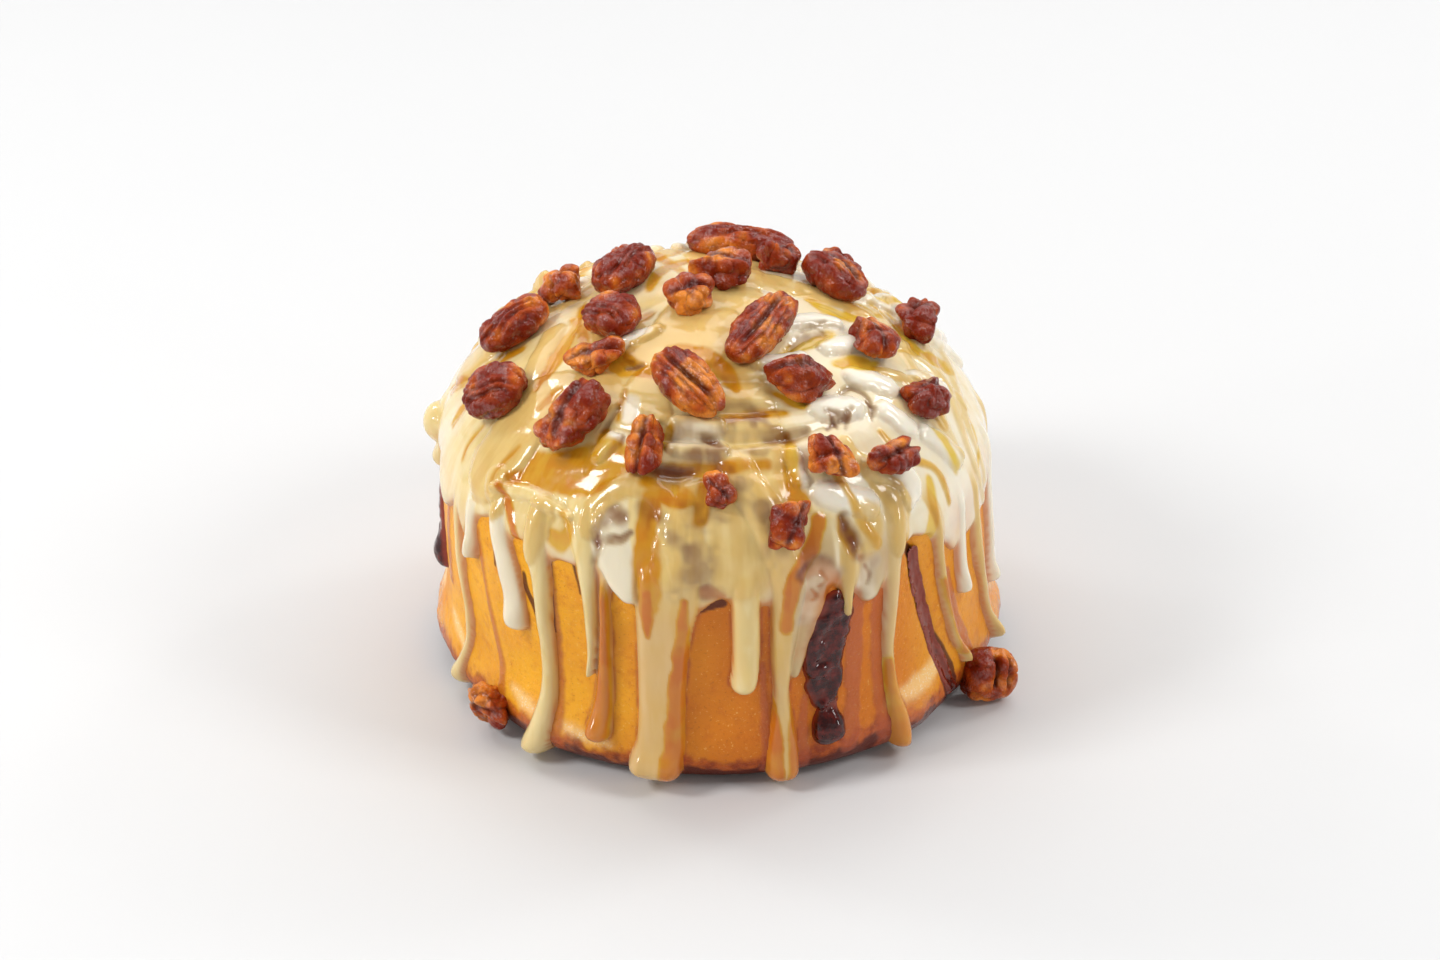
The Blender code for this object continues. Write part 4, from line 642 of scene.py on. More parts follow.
# Materials. A noise map is its bumps to the metre, detail and roughness. A colour is as
# it shows on a screen, 0 to 255. A tint is such a colour, or a value, from and to, and
# the two colours between which it changes. A wash is a value, from and to, how much it
# covers at both, and its tint. A value is a noise map or an attribute of the mesh.
CREAM_TINT = ("flow", -0.6, 0.6, (230, 207, 148), (224, 196, 128))
ICING_TINTS = {
    WHITE: (235, 227, 208),
    TAN: ("flow", -0.7, 0.7, (220, 187, 114), (211, 173, 98)),
    FILLING: (106, 42, 24),
}
CLEAR_WASHES = (("clear", 0.0, 1.0, 0.0, 0.8, (204, 116, 40)),)
# Caramel is clear: it takes this share of each colour from what lies under it.
CARAMEL_DARK = (0.76, 0.42, 0.03, 1.0)
CARAMEL_LIGHT = (0.86, 0.6, 0.1, 1.0)
CARAMEL_RIGHT = (0.88, 0.66, 0.1, 1.0)
CARAMEL_DEEP = (0.95, 0.6, 0.5, 1.0)
CARAMEL_FLOW = (-0.5, 0.5)
CARAMEL_RIGHT_RANGE = (0.3, 1.0)
CARAMEL_DEEP_RANGE = (1.05, 1.8)
ICING_SHADER = {
    "Roughness": 0.2, "Specular IOR Level": 0.3, "Coat Weight": 0.65, "Coat Roughness": 0.06,
    "Subsurface Weight": 0.2, "Subsurface Radius": (1.0, 0.6, 0.3), "Subsurface Scale": 0.002,
}
ICING_BUMP = ((220, 2, 0.5), 0.0005, 0.25)

DOUGH_MAPS = {
    "clouds": (90, 5, 0.6), "pores": (1500, 2, 0.6), "mottle": (330, 4, 0.65), "speckle": (2600, 2, 0.5),
}
# Tint by the crust's tone, which is partly painted shade on its front and right.
DOUGH_TINT = ("tone_and_shade", 0.0, 1.0, (244, 174, 34), (214, 118, 20))
DOUGH_WASHES = (
    ("clouds", 0.35, 0.75, 0.0, 0.4, (216, 122, 22)),
    ("pores", 0.6, 0.74, 0.0, 0.4, (168, 84, 20)),
    # Painted glints: pale flecks where the pores noise is low.
    ("pores", 0.26, 0.38, 0.5, 0.0, (250, 204, 110)),
    ("mottle", 0.5, 0.7, 0.0, 0.35, (196, 96, 18)),
    # Painted highlight: pale speckles over the swollen foot.
    ("painted_highlight", 0.0, 1.0, 0.0, 0.85, ("speckle", 0.55, 0.68, (250, 204, 132), (255, 240, 208))),
    ("rim", 0.0, 1.0, 0.0, 0.88, ("mottle", 0.4, 0.66, (190, 88, 26), (140, 46, 14))),
    ("char", 0.0, 1.0, 0.0, 0.92, (84, 22, 8)),
    # Caramel films, with painted shade along the runs' edges.
    ("film_and_edge_shade", 0.0, 1.0, 0.0, 0.65, (176, 70, 4)),
    # Filling stains, and painted shade lines under the hem and beside the runs.
    ("stain_and_shade_line", 0.0, 1.0, 0.0, 0.9, (82, 28, 16)),
)
DOUGH_SHADER = {
    "Specular IOR Level": 0.25, "Subsurface Weight": 0.12, "Subsurface Radius": (1.0, 0.4, 0.1),
    "Subsurface Scale": 0.002, "Coat Roughness": 0.1,
}
# The crust is smoother and glossier where the foot swells and under the films.
DOUGH_ROUGHNESS = (0.1, 0.9, 0.44, 0.24)
DOUGH_GLOSS = (0.2, 0.9)
DOUGH_COAT = (0.0, 1.0, 0.1, 0.6)
DOUGH_BUMP = ((750, 4, 0.7), 0.0006, 0.6)

CINNAMON_MAPS = {"clouds": (600, 4, 0.6)}
CINNAMON_TINT = (134, 48, 26)
CINNAMON_WASHES = (("thick", 0.25, 0.9, 0.0, 1.0, ("clouds", 0.35, 0.75, (46, 5, 4), (100, 22, 14))),)
CINNAMON_SHADER = {
    "Roughness": 0.16, "Specular IOR Level": 0.16, "Coat Weight": 0.55, "Coat Roughness": 0.04,
}
CINNAMON_BUMP = ((300, 2, 0.5), 0.0008, 0.6)

PECAN_MAPS = {"clouds": (420, 4, 0.6), "glint": (500, 2, 0.6)}
PECAN_TINT = ("roast", -0.35, 0.4, (124, 31, 5), (188, 80, 19))
PECAN_WASHES = (
    ("roast", 0.1, 0.6, 0.0, 0.9, (228, 138, 46)),
    ("clouds", 0.4, 0.7, 0.0, 0.6, (124, 32, 4)),
    # Painted shade in the folds and clefts, darker the deeper they are.
    ("fold_painted_shade", 0.2, 1.0, 0.0, 0.8, (76, 16, 2)),
)
PECAN_SHADER = {"Roughness": 0.32, "Specular IOR Level": 0.12, "Coat Roughness": 0.04}
# Their glaze shines in spots.
PECAN_COAT = (0.45, 0.57, 0.12, 1.0)
PECAN_BUMP = ((800, 3, 0.6), 0.0008, 0.8)

# Camera: aimed a little over the base, 30 degrees above level.
CAMERA_DISTANCE = 940.0
CAMERA_ELEVATION = 30.0
CAMERA_LENS = 100.0
PIXEL_SIZE = 0.235
PICTURE_SIZE = (1440, 960)
AXIS_PIXEL = (716, 638)

# The sky is bright near the horizon and dims towards the top.
SKY_RISE = (0.05, 0.4)
SKY_STRENGTH = (0.8, 0.3)
# Soft boxes: name, azimuth, elevation, distance and side in metres, and power.
LIGHTS = (
    ("key", -66, 42, 1.0, 0.26, 4.4), ("fill", 72, 42, 1.2, 0.36, 4.1),
    ("side_left", -124, 36, 1.0, 0.16, 1.2), ("side_right", 124, 36, 1.0, 0.16, 1.2),
    ("low_left", -72, 13, 1.0, 0.12, 1.1), ("low_right", 62, 13, 1.0, 0.1, 0.6),
    ("back_left", -150, 55, 1.2, 0.9, 4.6), ("back_right", 140, 55, 1.2, 0.9, 5.0),
)
LIGHT_AIM = 0.05
# Floor: half its side in metres, two greys, the noise between them and its roughness.
FLOOR_HALF_SIDE = 9
FLOOR_GREYS = ((0.67, 0.67, 0.67, 1), (0.68, 0.68, 0.68, 1))
FLOOR_NOISE = (3, 3.0, 0.5)
FLOOR_RANGE = (0.3, 0.7)
FLOOR_ROUGHNESS = 0.8


def profile():
    """Radius, height and arc of points from the top of the dome to the base."""
    inward = np.sin(np.linspace(0, math.pi / 2, DOME_POINTS))
    rise = (1 - inward**DOME_IN_POWER) ** (1 / DOME_OUT_POWER)
    wall = np.linspace(SHOULDER_HEIGHT, FOOT_RADIUS, WALL_POINTS)[1:]
    turn = np.linspace(0, math.pi / 2, FOOT_POINTS)[1:]
    radius = np.concatenate([
        WALL_RADIUS * inward,
        np.full(wall.size, WALL_RADIUS),
        WALL_RADIUS - FOOT_RADIUS * (1 - np.cos(turn)),
    ])
    height = np.concatenate([
        SHOULDER_HEIGHT + (DOME_HEIGHT - SHOULDER_HEIGHT) * rise,
        wall,
        FOOT_RADIUS * (1 - np.sin(turn)),
    ])
    steps = np.hypot(np.diff(radius), np.diff(height))
    return radius, height, np.concatenate([[0], np.cumsum(steps)])


RADIUS, HEIGHT, ARC = profile()
BASE_ARC = float(ARC[-1])


def smooth_step(value, low, high):
    """0 below low, 1 above high and an even ease between them."""
    t = np.clip((value - low) / (high - low), 0, 1)
    return t * t * (3 - 2 * t)


def present(value, rise, fall):
    """1 between a rise and a fall, each given as where it begins and ends."""
    return smooth_step(value, *rise) * (1 - smooth_step(value, *fall))


def smooth_max(a, b, blend):
    """The larger of two fields, with a fillet where they are close."""
    near = np.clip(blend - np.abs(a - b), 0, None) / blend
    return np.maximum(a, b) + near * near * blend / 4


def turned(azimuth, towards):
    """Azimuth measured from another one, between -180 and 180 degrees."""
    return (azimuth - towards + 180) % 360 - 180


def by_azimuth(table, azimuth):
    """Values of a table of azimuths, read between its rows."""
    knots = np.array(table, float)
    return np.interp(turned(azimuth, 0), knots[:, 0], knots[:, 1])


def over_base(distances):
    """Arcs at the given distances over the base."""
    return [BASE_ARC - distance for distance in distances]


def outward(arc):
    """The outward direction of the profile, as its radial and upward parts."""
    before = np.clip(arc - NORMAL_STEP, 0, BASE_ARC)
    after = np.clip(arc + NORMAL_STEP, 0, BASE_ARC)
    along = np.interp(after, ARC, RADIUS) - np.interp(before, ARC, RADIUS)
    upward = np.interp(after, ARC, HEIGHT) - np.interp(before, ARC, HEIGHT)
    size = np.hypot(along, upward)
    return -upward / size, along / size


def open_front(azimuth, arc):
    """Share of the openness of the roll, which shows most high on the front."""
    around, down = OPEN_SPREAD
    return np.exp(-((turned(azimuth, OPEN_AZIMUTH) / around) ** 2) - ((arc - OPEN_ARC) / down) ** 2)


def groove(azimuth, arc):
    """How deep the spiral groove between the turns is."""
    from_groove = (arc - TURN_PHASE - TURN_PITCH * azimuth / 360) % TURN_PITCH
    from_groove = np.minimum(from_groove, TURN_PITCH - from_groove)
    shape = np.exp(-(from_groove / GROOVE_HALF_WIDTH) ** 2)
    depth = GROOVE_DEPTH + OPEN_GROOVE_DEPTH * open_front(azimuth, arc)
    return depth * shape * present(arc, GROOVE_RISE, GROOVE_FALL)


def seam_azimuth(arc):
    """Where the upright seam runs at each arc."""
    knots = np.array(SEAM, float)
    return np.interp(arc, knots[:, 1], knots[:, 0])


def seam(azimuth, arc):
    """How deep the upright seam is where the outer turn ends."""
    across = np.radians(turned(azimuth, seam_azimuth(arc))) * WALL_RADIUS
    fade = present(arc, SEAM_RISE, over_base(SEAM_END))
    return SEAM_DEPTH * fade * np.exp(-(across / SEAM_HALF_WIDTH) ** 2)


def foot_bulge(azimuth, height):
    """How far the dough swells out just over its base."""
    total = np.full(np.shape(azimuth), FOOT_BULGE_LEAST)
    for centre, reach, spread in FOOT_BULGES:
        total = total + reach * np.exp(-(turned(azimuth, centre) / spread) ** 2)
    return total * np.exp(-((height - FOOT_BULGE_HEIGHT) / FOOT_BULGE_SPREAD) ** 2)


def waves(azimuth, arc):
    """Gentle unevenness of the whole bun, with a swelling on its far side."""
    turn = np.radians(azimuth)
    total = sum(high * np.sin(count * turn + phase + arc / length) for high, count, phase, length in WAVES)
    centre, swell_arc, radius, rise = CROWN_SWELL
    away = np.hypot(np.radians(turned(azimuth, centre)) * swell_arc, arc - swell_arc)
    return total * present(arc, WAVES_RISE, WAVES_FALL) + rise * np.exp(-(away / radius) ** 2)


def lift_direction(arc):
    """Direction in which toppings rise: outward, but never far below level."""
    radial, upward = outward(arc)
    upward = np.maximum(upward, LIFT_LEAST)
    size = np.hypot(radial, upward)
    long = size > LIFT_SHORTEST
    return np.where(long, radial / size, radial), np.where(long, upward / size, upward)


def place(azimuth, arc, lift=0.0, filled=False):
    """Points of the dough's surface, raised by lift, with its grooves filled or not."""
    azimuth = np.asarray(azimuth, float)
    arc = np.asarray(arc, float)
    radial, upward = outward(arc)
    sink = waves(azimuth, arc)
    if not filled:
        sink = sink - groove(azimuth, arc) - seam(azimuth, arc)
    height = np.interp(arc, ARC, HEIGHT) + upward * sink
    radius = np.interp(arc, ARC, RADIUS) + radial * sink + foot_bulge(azimuth, height)
    lift_out, lift_up = lift_direction(arc)
    radius = radius + lift_out * lift
    height = height + lift_up * lift
    turn = np.radians(azimuth)
    lean = -DOME_LEAN * smooth_step(height, *LEAN_RANGE)
    return np.stack([radius * np.sin(turn) + lean, -radius * np.cos(turn), height], -1)


def flat(azimuth, arc):
    """Where a surface point lies in a plan that is wrapped on the dough."""
    turn = np.radians(azimuth)
    arc = np.asarray(arc, float)
    reach = np.where(arc < DOME_ARC, arc, DOME_ARC * np.exp((arc - DOME_ARC) / WALL_RADIUS))
    return np.stack([reach * np.sin(turn), -reach * np.cos(turn)], -1)


def unflat(points):
    """Azimuth and arc of points of the plan."""
    points = np.asarray(points, float)
    azimuth = np.degrees(np.arctan2(points[:, 0], -points[:, 1]))
    reach = np.hypot(points[:, 0], points[:, 1])
    widened = DOME_ARC + WALL_RADIUS * np.log(np.maximum(reach, DOME_ARC) / DOME_ARC)
    return azimuth, np.where(reach < DOME_ARC, reach, widened)


def noise(points, size, seed):
    """Smooth noise between -1 and 1, with bumps of about the size in millimetres."""
    grid = np.asarray(points, float) / size + seed * NOISE_SHIFT
    cell = np.floor(grid).astype(np.int64)
    part = grid - cell
    ease = part**3 * (part * (part * 6 - 15) + 10)
    total = np.zeros(len(grid))
    for corner in range(8):
        offset = np.array([(corner >> axis) & 1 for axis in range(3)])
        key = (cell + offset) @ np.array(NOISE_STEPS) + seed * NOISE_SEED_STEP
        for shift, factor in NOISE_FACTORS:
            key = (key ^ (key >> shift)) * factor & NOISE_MASK
        weight = np.where(offset == 1, ease, 1 - ease).prod(axis=1)
        total += weight * (key / NOISE_HALF - 1)
    return total


def rough(points, size, seed, octaves=3):
    """Noise with finer bumps on its bumps."""
    total = np.zeros(len(points))
    for octave in range(octaves):
        total += noise(points, size / 2**octave, seed + octave) / 2**octave
    return total


def bumps(points, noises):
    """A sum of noises, each given as its strength, size and seed."""
    return sum(strength * noise(points, size, seed) for strength, size, seed in noises)


def rows_of(bands):
    """Arc of every row and how many columns it has."""
    rows = []
    for low, high, step, columns in bands:
        count = max(1, round((high - low) / step))
        rows.extend((low + (high - low) * index / count, columns) for index in range(count))
    rows.append((bands[-1][1], bands[-1][3]))
    return rows


def skin_grid(bands):
    """Azimuths and arcs of a net round the bun, and the faces between its rows."""
    azimuths = []
    arcs = []
    faces = []
    start = 0
    above = None
    for arc, columns in rows_of(bands):
        azimuths.append(np.arange(columns) * 360 / columns - 180)
        arcs.append(np.full(columns, float(arc)))
        if above:
            faces.extend(between(*above, start, columns))
        above = (start, columns)
        start += columns
    return np.concatenate(azimuths), np.concatenate(arcs), faces


def between(above, few, below, many):
    """Faces from a row to the next, which has as many columns or twice as many."""
    faces = []
    share = many // few
    for column in range(few):
        after = (column + 1) % few
        lower = [below + (column * share + step) % many for step in range(share + 1)]
        faces.append((above + column, *lower, above + after))
    return faces


def skin(name, faces, points, keep, values, finish):
    """A smooth mesh of the kept part of a net, with values at its points."""
    used = [face for face in faces if keep[list(face)].any()]
    index = np.full(len(points), -1)
    order = np.unique(np.concatenate([np.array(face) for face in used]))
    index[order] = np.arange(len(order))
    mesh = bpy.data.meshes.new(name)
    mesh.from_pydata((points[order] * MM).tolist(), [], [index[list(face)].tolist() for face in used])
    for key, value in values.items():
        layer = mesh.attributes.new(key, "FLOAT", "POINT")
        layer.data.foreach_set("value", value[order].astype(np.float32))
    mesh.materials.append(finish)
    mesh.shade_smooth()
    return put_in_scene(name, mesh)


def put_in_scene(name, data):
    """An object made of the data, linked to the scene."""
    built = bpy.data.objects.new(name, data)
    bpy.context.scene.collection.objects.link(built)
    return built


def line_of(knots):
    """A smooth line through the knots of a streak: its points and half-widths."""
    knots = np.array(knots, float)
    rows = np.column_stack([flat(knots[:, 0], knots[:, 1]), knots[:, 2]])
    ends = np.vstack([2 * rows[0] - rows[1], rows, 2 * rows[-1] - rows[-2]])
    fine = []
    for start in range(len(rows) - 1):
        a, b, c, d = ends[start:start + 4]
        for t in np.arange(LINE_POINTS) / LINE_POINTS:
            bend = (2 * a - 5 * b + 4 * c - d) * t * t + (3 * b - a - 3 * c + d) * t**3
            fine.append(0.5 * (2 * b + (c - a) * t + bend))
    fine = np.array([*fine, rows[-1]])
    return place(*unflat(fine[:, :2]), 0.0, True), np.maximum(fine[:, 2], LEAST_HALF_WIDTH)


def within(knots, ground):
    """How far inside a streak each point lies, and the streak's half-width there."""
    line, halves = line_of(knots)
    margin = halves.max() + STREAK_MARGIN
    near = np.all((ground > line.min(0) - margin) & (ground < line.max(0) + margin), axis=1)
    points = ground[near]
    best = np.full(len(points), -FAR)
    best_half = np.ones(len(points))
    for start in range(len(line) - 1):
        step = line[start + 1] - line[start]
        share = np.clip((points - line[start]) @ step / (step @ step), 0, 1)
        away = np.linalg.norm(points - line[start] - share[:, None] * step, axis=1)
        half = halves[start] + (halves[start + 1] - halves[start]) * share
        better = half - away > best
        best = np.where(better, half - away, best)
        best_half = np.where(better, half, best_half)
    inside = np.full(len(ground), -FAR)
    inside[near] = best
    width = np.ones(len(ground))
    width[near] = best_half
    return inside, width


def round_over(inside, reach):
    """Section of a rounded edge: 0 at the border, 1 at reach, and below it outside."""
    share = np.clip(inside / reach, 0, 1)
    return np.where(inside > 0, np.sqrt(1 - (1 - share) ** 2), np.maximum(inside, -1.0))


def swelling(tip, arc, swell, before, length):
    """How much thicker a run gets towards its tip."""
    return 1 + swell * np.exp(-((tip - before - arc) / length) ** 2)


def icing_spread(azimuth, arc, ground):
    """Height of the icing and its runs over the dough, below it where there is none."""
    hem = np.interp(-by_azimuth(HEM, azimuth), -HEIGHT, ARC) - arc + bumps(ground, HEM_WAVES)
    hem = np.where(hem > 0, hem, hem * HEM_UNDERCUT)
    height = ICING_DEPTH * round_over(hem, HEM_ROUNDING)
    reach = hem
    runs = []
    for kind, depth, line in RUNS:
        inside, half = within(line, ground)
        fade = smooth_step(arc, *(line[0][1] + edge for edge in RUN_FADE))
        swell = swelling(line[-1][1], arc, BULB_SWELL, BULB_PLACE, BULB_LENGTH)
        section = round_over(inside, np.minimum(half, RUN_ROUNDING))
        height = smooth_max(height, (depth * fade * swell + SKIN_GAP) * section, RUN_FILLET)
        reach = smooth_max(reach, inside, WEB_FILLET)
        runs.append((kind, inside, fade))
    height = smooth_max(height, WEB_DEPTH * round_over(reach, WEB_ROUNDING), WEB_BLEND)
    return height, runs


def icing_relief(azimuth, arc, ground, height):
    """The roll under the icing, the buried nut, and the waves of the icing itself."""
    cover = smooth_step(height, *RELIEF_COVER)
    opened = open_front(azimuth, arc)
    shown = (GROOVE_SHOWN + OPEN_GROOVE_SHOWN * opened) * groove(azimuth, arc)
    height = height + cover * (OPEN_RISE * opened - shown)
    height = height + cover * ICING_WAVE_HEIGHT * rough(ground, *ICING_WAVES)
    centre, lump_arc, radius, rise, power = ICED_LUMP
    away = np.hypot(np.radians(turned(azimuth, centre)) * WALL_RADIUS, arc - lump_arc) / radius
    return height + cover * rise * np.clip(1 - away**2, 0, 1) ** power


def cover_with(shares, kind, amount):
    """Lays one kind of topping over the others; clear caramel hides none of them."""
    if kind == CARAMEL:
        shares[CARAMEL] = np.maximum(shares[CARAMEL], amount)
        return
    for other in shares:
        shares[other] = shares[other] * (1 - amount)
    if kind in shares:
        shares[kind] = shares[kind] + amount


def strewn(seed, count, half):
    """Streaks that run down the hidden back and sides, one in each share of it."""
    draw = np.random.default_rng(seed)
    low, high = BACK_AZIMUTHS
    least, belly = BACK_BELLY
    streaks = []
    for index in range(count):
        azimuth = low + (high - low) * (index + draw.uniform(*BACK_PLACES)) / count
        arc = draw.uniform(*BACK_TOPS)
        length = draw.uniform(*BACK_LENGTHS)
        width = half * draw.uniform(*BACK_WIDTHS)
        knots = []
        for share in np.arange(BACK_KNOTS) / (BACK_KNOTS - 1):
            knots.append((azimuth, arc + length * share, width * (least + belly * share * (1 - share))))
            azimuth += draw.normal(0, BACK_WANDER / (arc + length * share))
        streaks.append(knots)
    return streaks


def icing_layers():
    """Every layer over the icing, the front's and the back's."""
    layers = list(LAYERS)
    for kind, rise, soft, hiding, blotches, seed, count, half in BACK_LAYERS:
        layers.append((kind, rise, soft, hiding, blotches, strewn(seed, count, half)))
    return layers


def run_shares(arc, ground, right, runs):
    """Share of each kind of topping from the frosting and the runs, and how clear these are."""
    shares = {kind: np.zeros(len(arc)) for kind in KINDS}
    white = WHITE_RIGHT_SHARE * right + WHITE_SHARE + WHITE_PATCH_SHARE * rough(ground, *WHITE_PATCHES)
    cover_with(shares, WHITE, np.clip(white, 0, 1))
    sheer = np.zeros(len(arc))
    for kind, inside, fade in runs:
        amount = RUN_HIDING.get(kind, 1.0) * fade * smooth_step(inside, *RUN_BORDER)
        for part, share in BLENDS.get(kind, ((kind, 1.0),)):
            cover_with(shares, part, share * amount)
        if kind == SHEER:
            sheer = np.maximum(sheer, SHEER_CLEAR * amount * smooth_step(arc, *SHEER_RISE))
    return shares, sheer


def lay_streaks(ground, shares, height):
    """Lays every layer of streaks over the icing, and returns its new height."""
    wobble = bumps(ground, STREAK_WOBBLE)
    blots = bumps(ground, BLOTS)
    for kind, rise, soft, hiding, blotches, streaks in icing_layers():
        blotch = np.clip(1 + blotches * (blots - BLOT_LEVEL), 0, 1)
        for knots in streaks:
            inside, half = within(knots, ground)
            inside = inside + wobble * np.minimum(1, half / 2)
            cover_with(shares, kind, hiding * smooth_step(inside, -soft, soft) * blotch)
            height = height + rise * np.clip(round_over(inside, np.minimum(half, STREAK_ROUNDING)), 0, 1)
    return height


def glaze_flow(azimuth, arc, ground):
    """Streaming of the glaze: down the side, and in every direction on the top."""
    side = np.stack([np.radians(azimuth) * FLOW_ROUND, arc / FLOW_DOWN, np.zeros(len(arc))], -1)
    lower = smooth_step(arc, *FLOW_RISE)
    return rough(side, *FLOW_SIDE_NOISE) * lower + rough(ground, *FLOW_TOP_NOISE) * (1 - lower)


def icing(finish):
    """The icing with its runs, pours, caramel and cinnamon marks in one skin."""
    azimuth, arc, faces = skin_grid(ICING_BANDS)
    ground = place(azimuth, arc, 0.0, True)
    height, runs = icing_spread(azimuth, arc, ground)
    shown = height > ICING_KEPT
    height = icing_relief(azimuth, arc, ground, height)
    right = present(turned(azimuth, 0), RIGHT_RISE, RIGHT_FALL)
    shares, sheer = run_shares(arc, ground, right, runs)
    height = lay_streaks(ground, shares, height)
    points = place(azimuth, arc, height, True)
    points[:, 2] = np.maximum(points[:, 2], LOWEST_ICING)
    clear = (1 - smooth_step(height, *CLEAR_DEPTH)) * smooth_step(arc, *CLEAR_RISE)
    clear = np.maximum(clear, sheer) * (1 - CLEAR_UNDER_CARAMEL * np.clip(shares[CARAMEL], 0, 1))
    values = {**shares, "clear": clear, "flow": glaze_flow(azimuth, arc, ground), "right": right}
    faces.append(tuple(range(ICING_BANDS[0][3])))
    return skin("icing_skin", faces, points, shown, values, finish)


def laid_on(ground, streaks, soft, blots):
    """How much streaks on the dough cover it, and how far inside them each point is."""
    amount = np.zeros(len(ground))
    deepest = np.full(len(ground), -FAR)
    for knots in streaks:
        inside, half = within(knots, ground)
        inside = inside + blots * np.minimum(1, half / 2)
        amount = np.maximum(amount, smooth_step(inside, -soft, soft))
        deepest = np.maximum(deepest, inside)
    return amount, deepest


def seep_and_edge_shade(ground):
    """Thin caramel that has crept out along both edges of every run, also painted shade along those edges.
    """
    amount = np.zeros(len(ground))
    for _, _, line in RUNS:
        inside, _ = within(line, ground)
        amount = np.maximum(amount, np.exp(-((inside + SEEP_AND_SHADE_PLACE) / SEEP_AND_SHADE_REACH) ** 2))
    return amount


def crust_relief(arc, ground, swollen):
    """Fine roughness of the crust below the icing, with pimples where it swells."""
    pimples = (PIMPLE_HEIGHT + PIMPLE_SWOLLEN_HEIGHT * swollen) * noise(ground, *PIMPLE_NOISE)
    fine = CRUST_RELIEF * rough(ground, *CRUST_NOISE) + pimples
    return fine * present(arc, CRUST_RISE, over_base(CRUST_END))


def dough(finish):
    """The roll, with its browned rim, swollen foot, caramel films, stains, painted shade and painted
    highlights.
    """
    azimuth, arc, faces = skin_grid(DOUGH_BANDS)
    ground = place(azimuth, arc, 0.0)
    swollen = foot_bulge(azimuth, ground[:, 2]) - FOOT_BULGE_LEAST
    swollen = np.clip(swollen / SWOLLEN_FULL, 0, 1)
    smooth_ground = place(azimuth, arc, 0.0, True)
    blots = bumps(ground, DOUGH_BLOTS)
    film_and_edge_shade, inside = laid_on(smooth_ground, FILMS, FILM_SOFT, blots)
    # Stains include painted shade lines under the hem and beside the runs.
    stain_and_shade_line, _ = laid_on(smooth_ground, STAINS_AND_SHADE_LINES, STAIN_AND_SHADE_SOFT, blots)
    # Pale patches on the foot are painted highlights.
    painted_highlight, _ = laid_on(smooth_ground, PAINTED_HIGHLIGHTS, PAINTED_HIGHLIGHT_SOFT, bumps(ground, PAINTED_HIGHLIGHT_WAVES))
    # Films also carry the caramel seep and painted shade along the runs' edges.
    film_and_edge_shade = np.maximum(film_and_edge_shade, seep_and_edge_shade(smooth_ground) * np.clip(SEEP_AND_SHADE_BLOTCH + blots, 0, 1))
    fine = crust_relief(arc, ground, swollen) + FILM_HEIGHT * np.clip(round_over(inside, 1.0), 0, 1)
    points = place(azimuth, arc, fine)
    points[:, 2] = np.where(arc > BASE_ARC - BASE_EDGE, 0, np.maximum(points[:, 2], 0))
    base = len(arc) - DOUGH_BANDS[-1][3]
    faces.append(tuple(range(len(arc) - 1, base - 1, -1)))
    faces.append(tuple(range(DOUGH_BANDS[0][3])))
    rim_height = by_azimuth(RIM, azimuth)
    rim = rim_height - points[:, 2] + bumps(ground, RIM_WAVES)
    char = smooth_step(rim - CHAR_SHARE * rim_height, *CHAR_BORDER)
    # The crust's tone by azimuth is partly painted shade on its front and right.
    values = {
        "painted_highlight": painted_highlight, "rim": smooth_step(rim, *RIM_BORDER), "char": char, "film_and_edge_shade": film_and_edge_shade, "stain_and_shade_line": stain_and_shade_line,
        "swollen": swollen, "tone_and_shade": by_azimuth(CRUST_TONE_AND_SHADE, azimuth) + bumps(ground, TONE_WAVES),
    }
    return skin("dough_crust", faces, points, np.ones(len(arc), bool), values, finish)


def nut_directions(columns, rows):
    """Unit directions of a ball's grid and its faces; the poles lie on X."""
    directions = [(1.0, 0.0, 0.0)]
    for row in range(1, rows):
        polar = math.pi * row / rows
        for column in range(columns):
            turn = -2 * math.pi * column / columns
            ring_point = (math.sin(polar) * math.sin(turn), math.sin(polar) * math.cos(turn))
            directions.append((math.cos(polar), *ring_point))
    directions.append((-1.0, 0.0, 0.0))
    faces = []
    last = len(directions) - 1
    for column in range(columns):
        after = (column + 1) % columns
        faces.append((0, 1 + column, 1 + after))
        for row in range(rows - 2):
            near, far = 1 + row * columns, 1 + (row + 1) * columns
            faces.append((near + column, far + column, far + after, near + after))
        near = 1 + (rows - 2) * columns
        faces.append((near + column, last, near + after))
    return np.array(directions), faces


def cleft(position, centre, width):
    """Cross-section of a cleft, 1 at its centre."""
    return np.exp(-(((position - centre) / width) ** 2))


def half_scale(along, across, top, depth, draw):
    """A pecan half: long lobes either side of a cleft, grooved lengthwise and wrinkled across."""
    bend = CLEFT_BEND * np.sin(CLEFT_BEND_RATE * along + draw.uniform(-1, 1))
    scale = 1 - depth * top * cleft(across, bend, CLEFT_WIDTH) * (1 - CLEFT_SHALLOW * along**4)
    sway = SIDE_GROOVE_SWAY * np.sin(SIDE_GROOVE_SWAY_RATE * along + draw.uniform(0, 6))
    for position, share in SIDE_GROOVES:
        scale -= share * top * cleft(np.abs(across - bend), position + sway, SIDE_GROOVE_WIDTH)
    wrinkle = np.cos(CROSS_WRINKLE_RATE * along + draw.uniform(0, 6))
    return scale + CROSS_WRINKLE * top * wrinkle * np.abs(across)


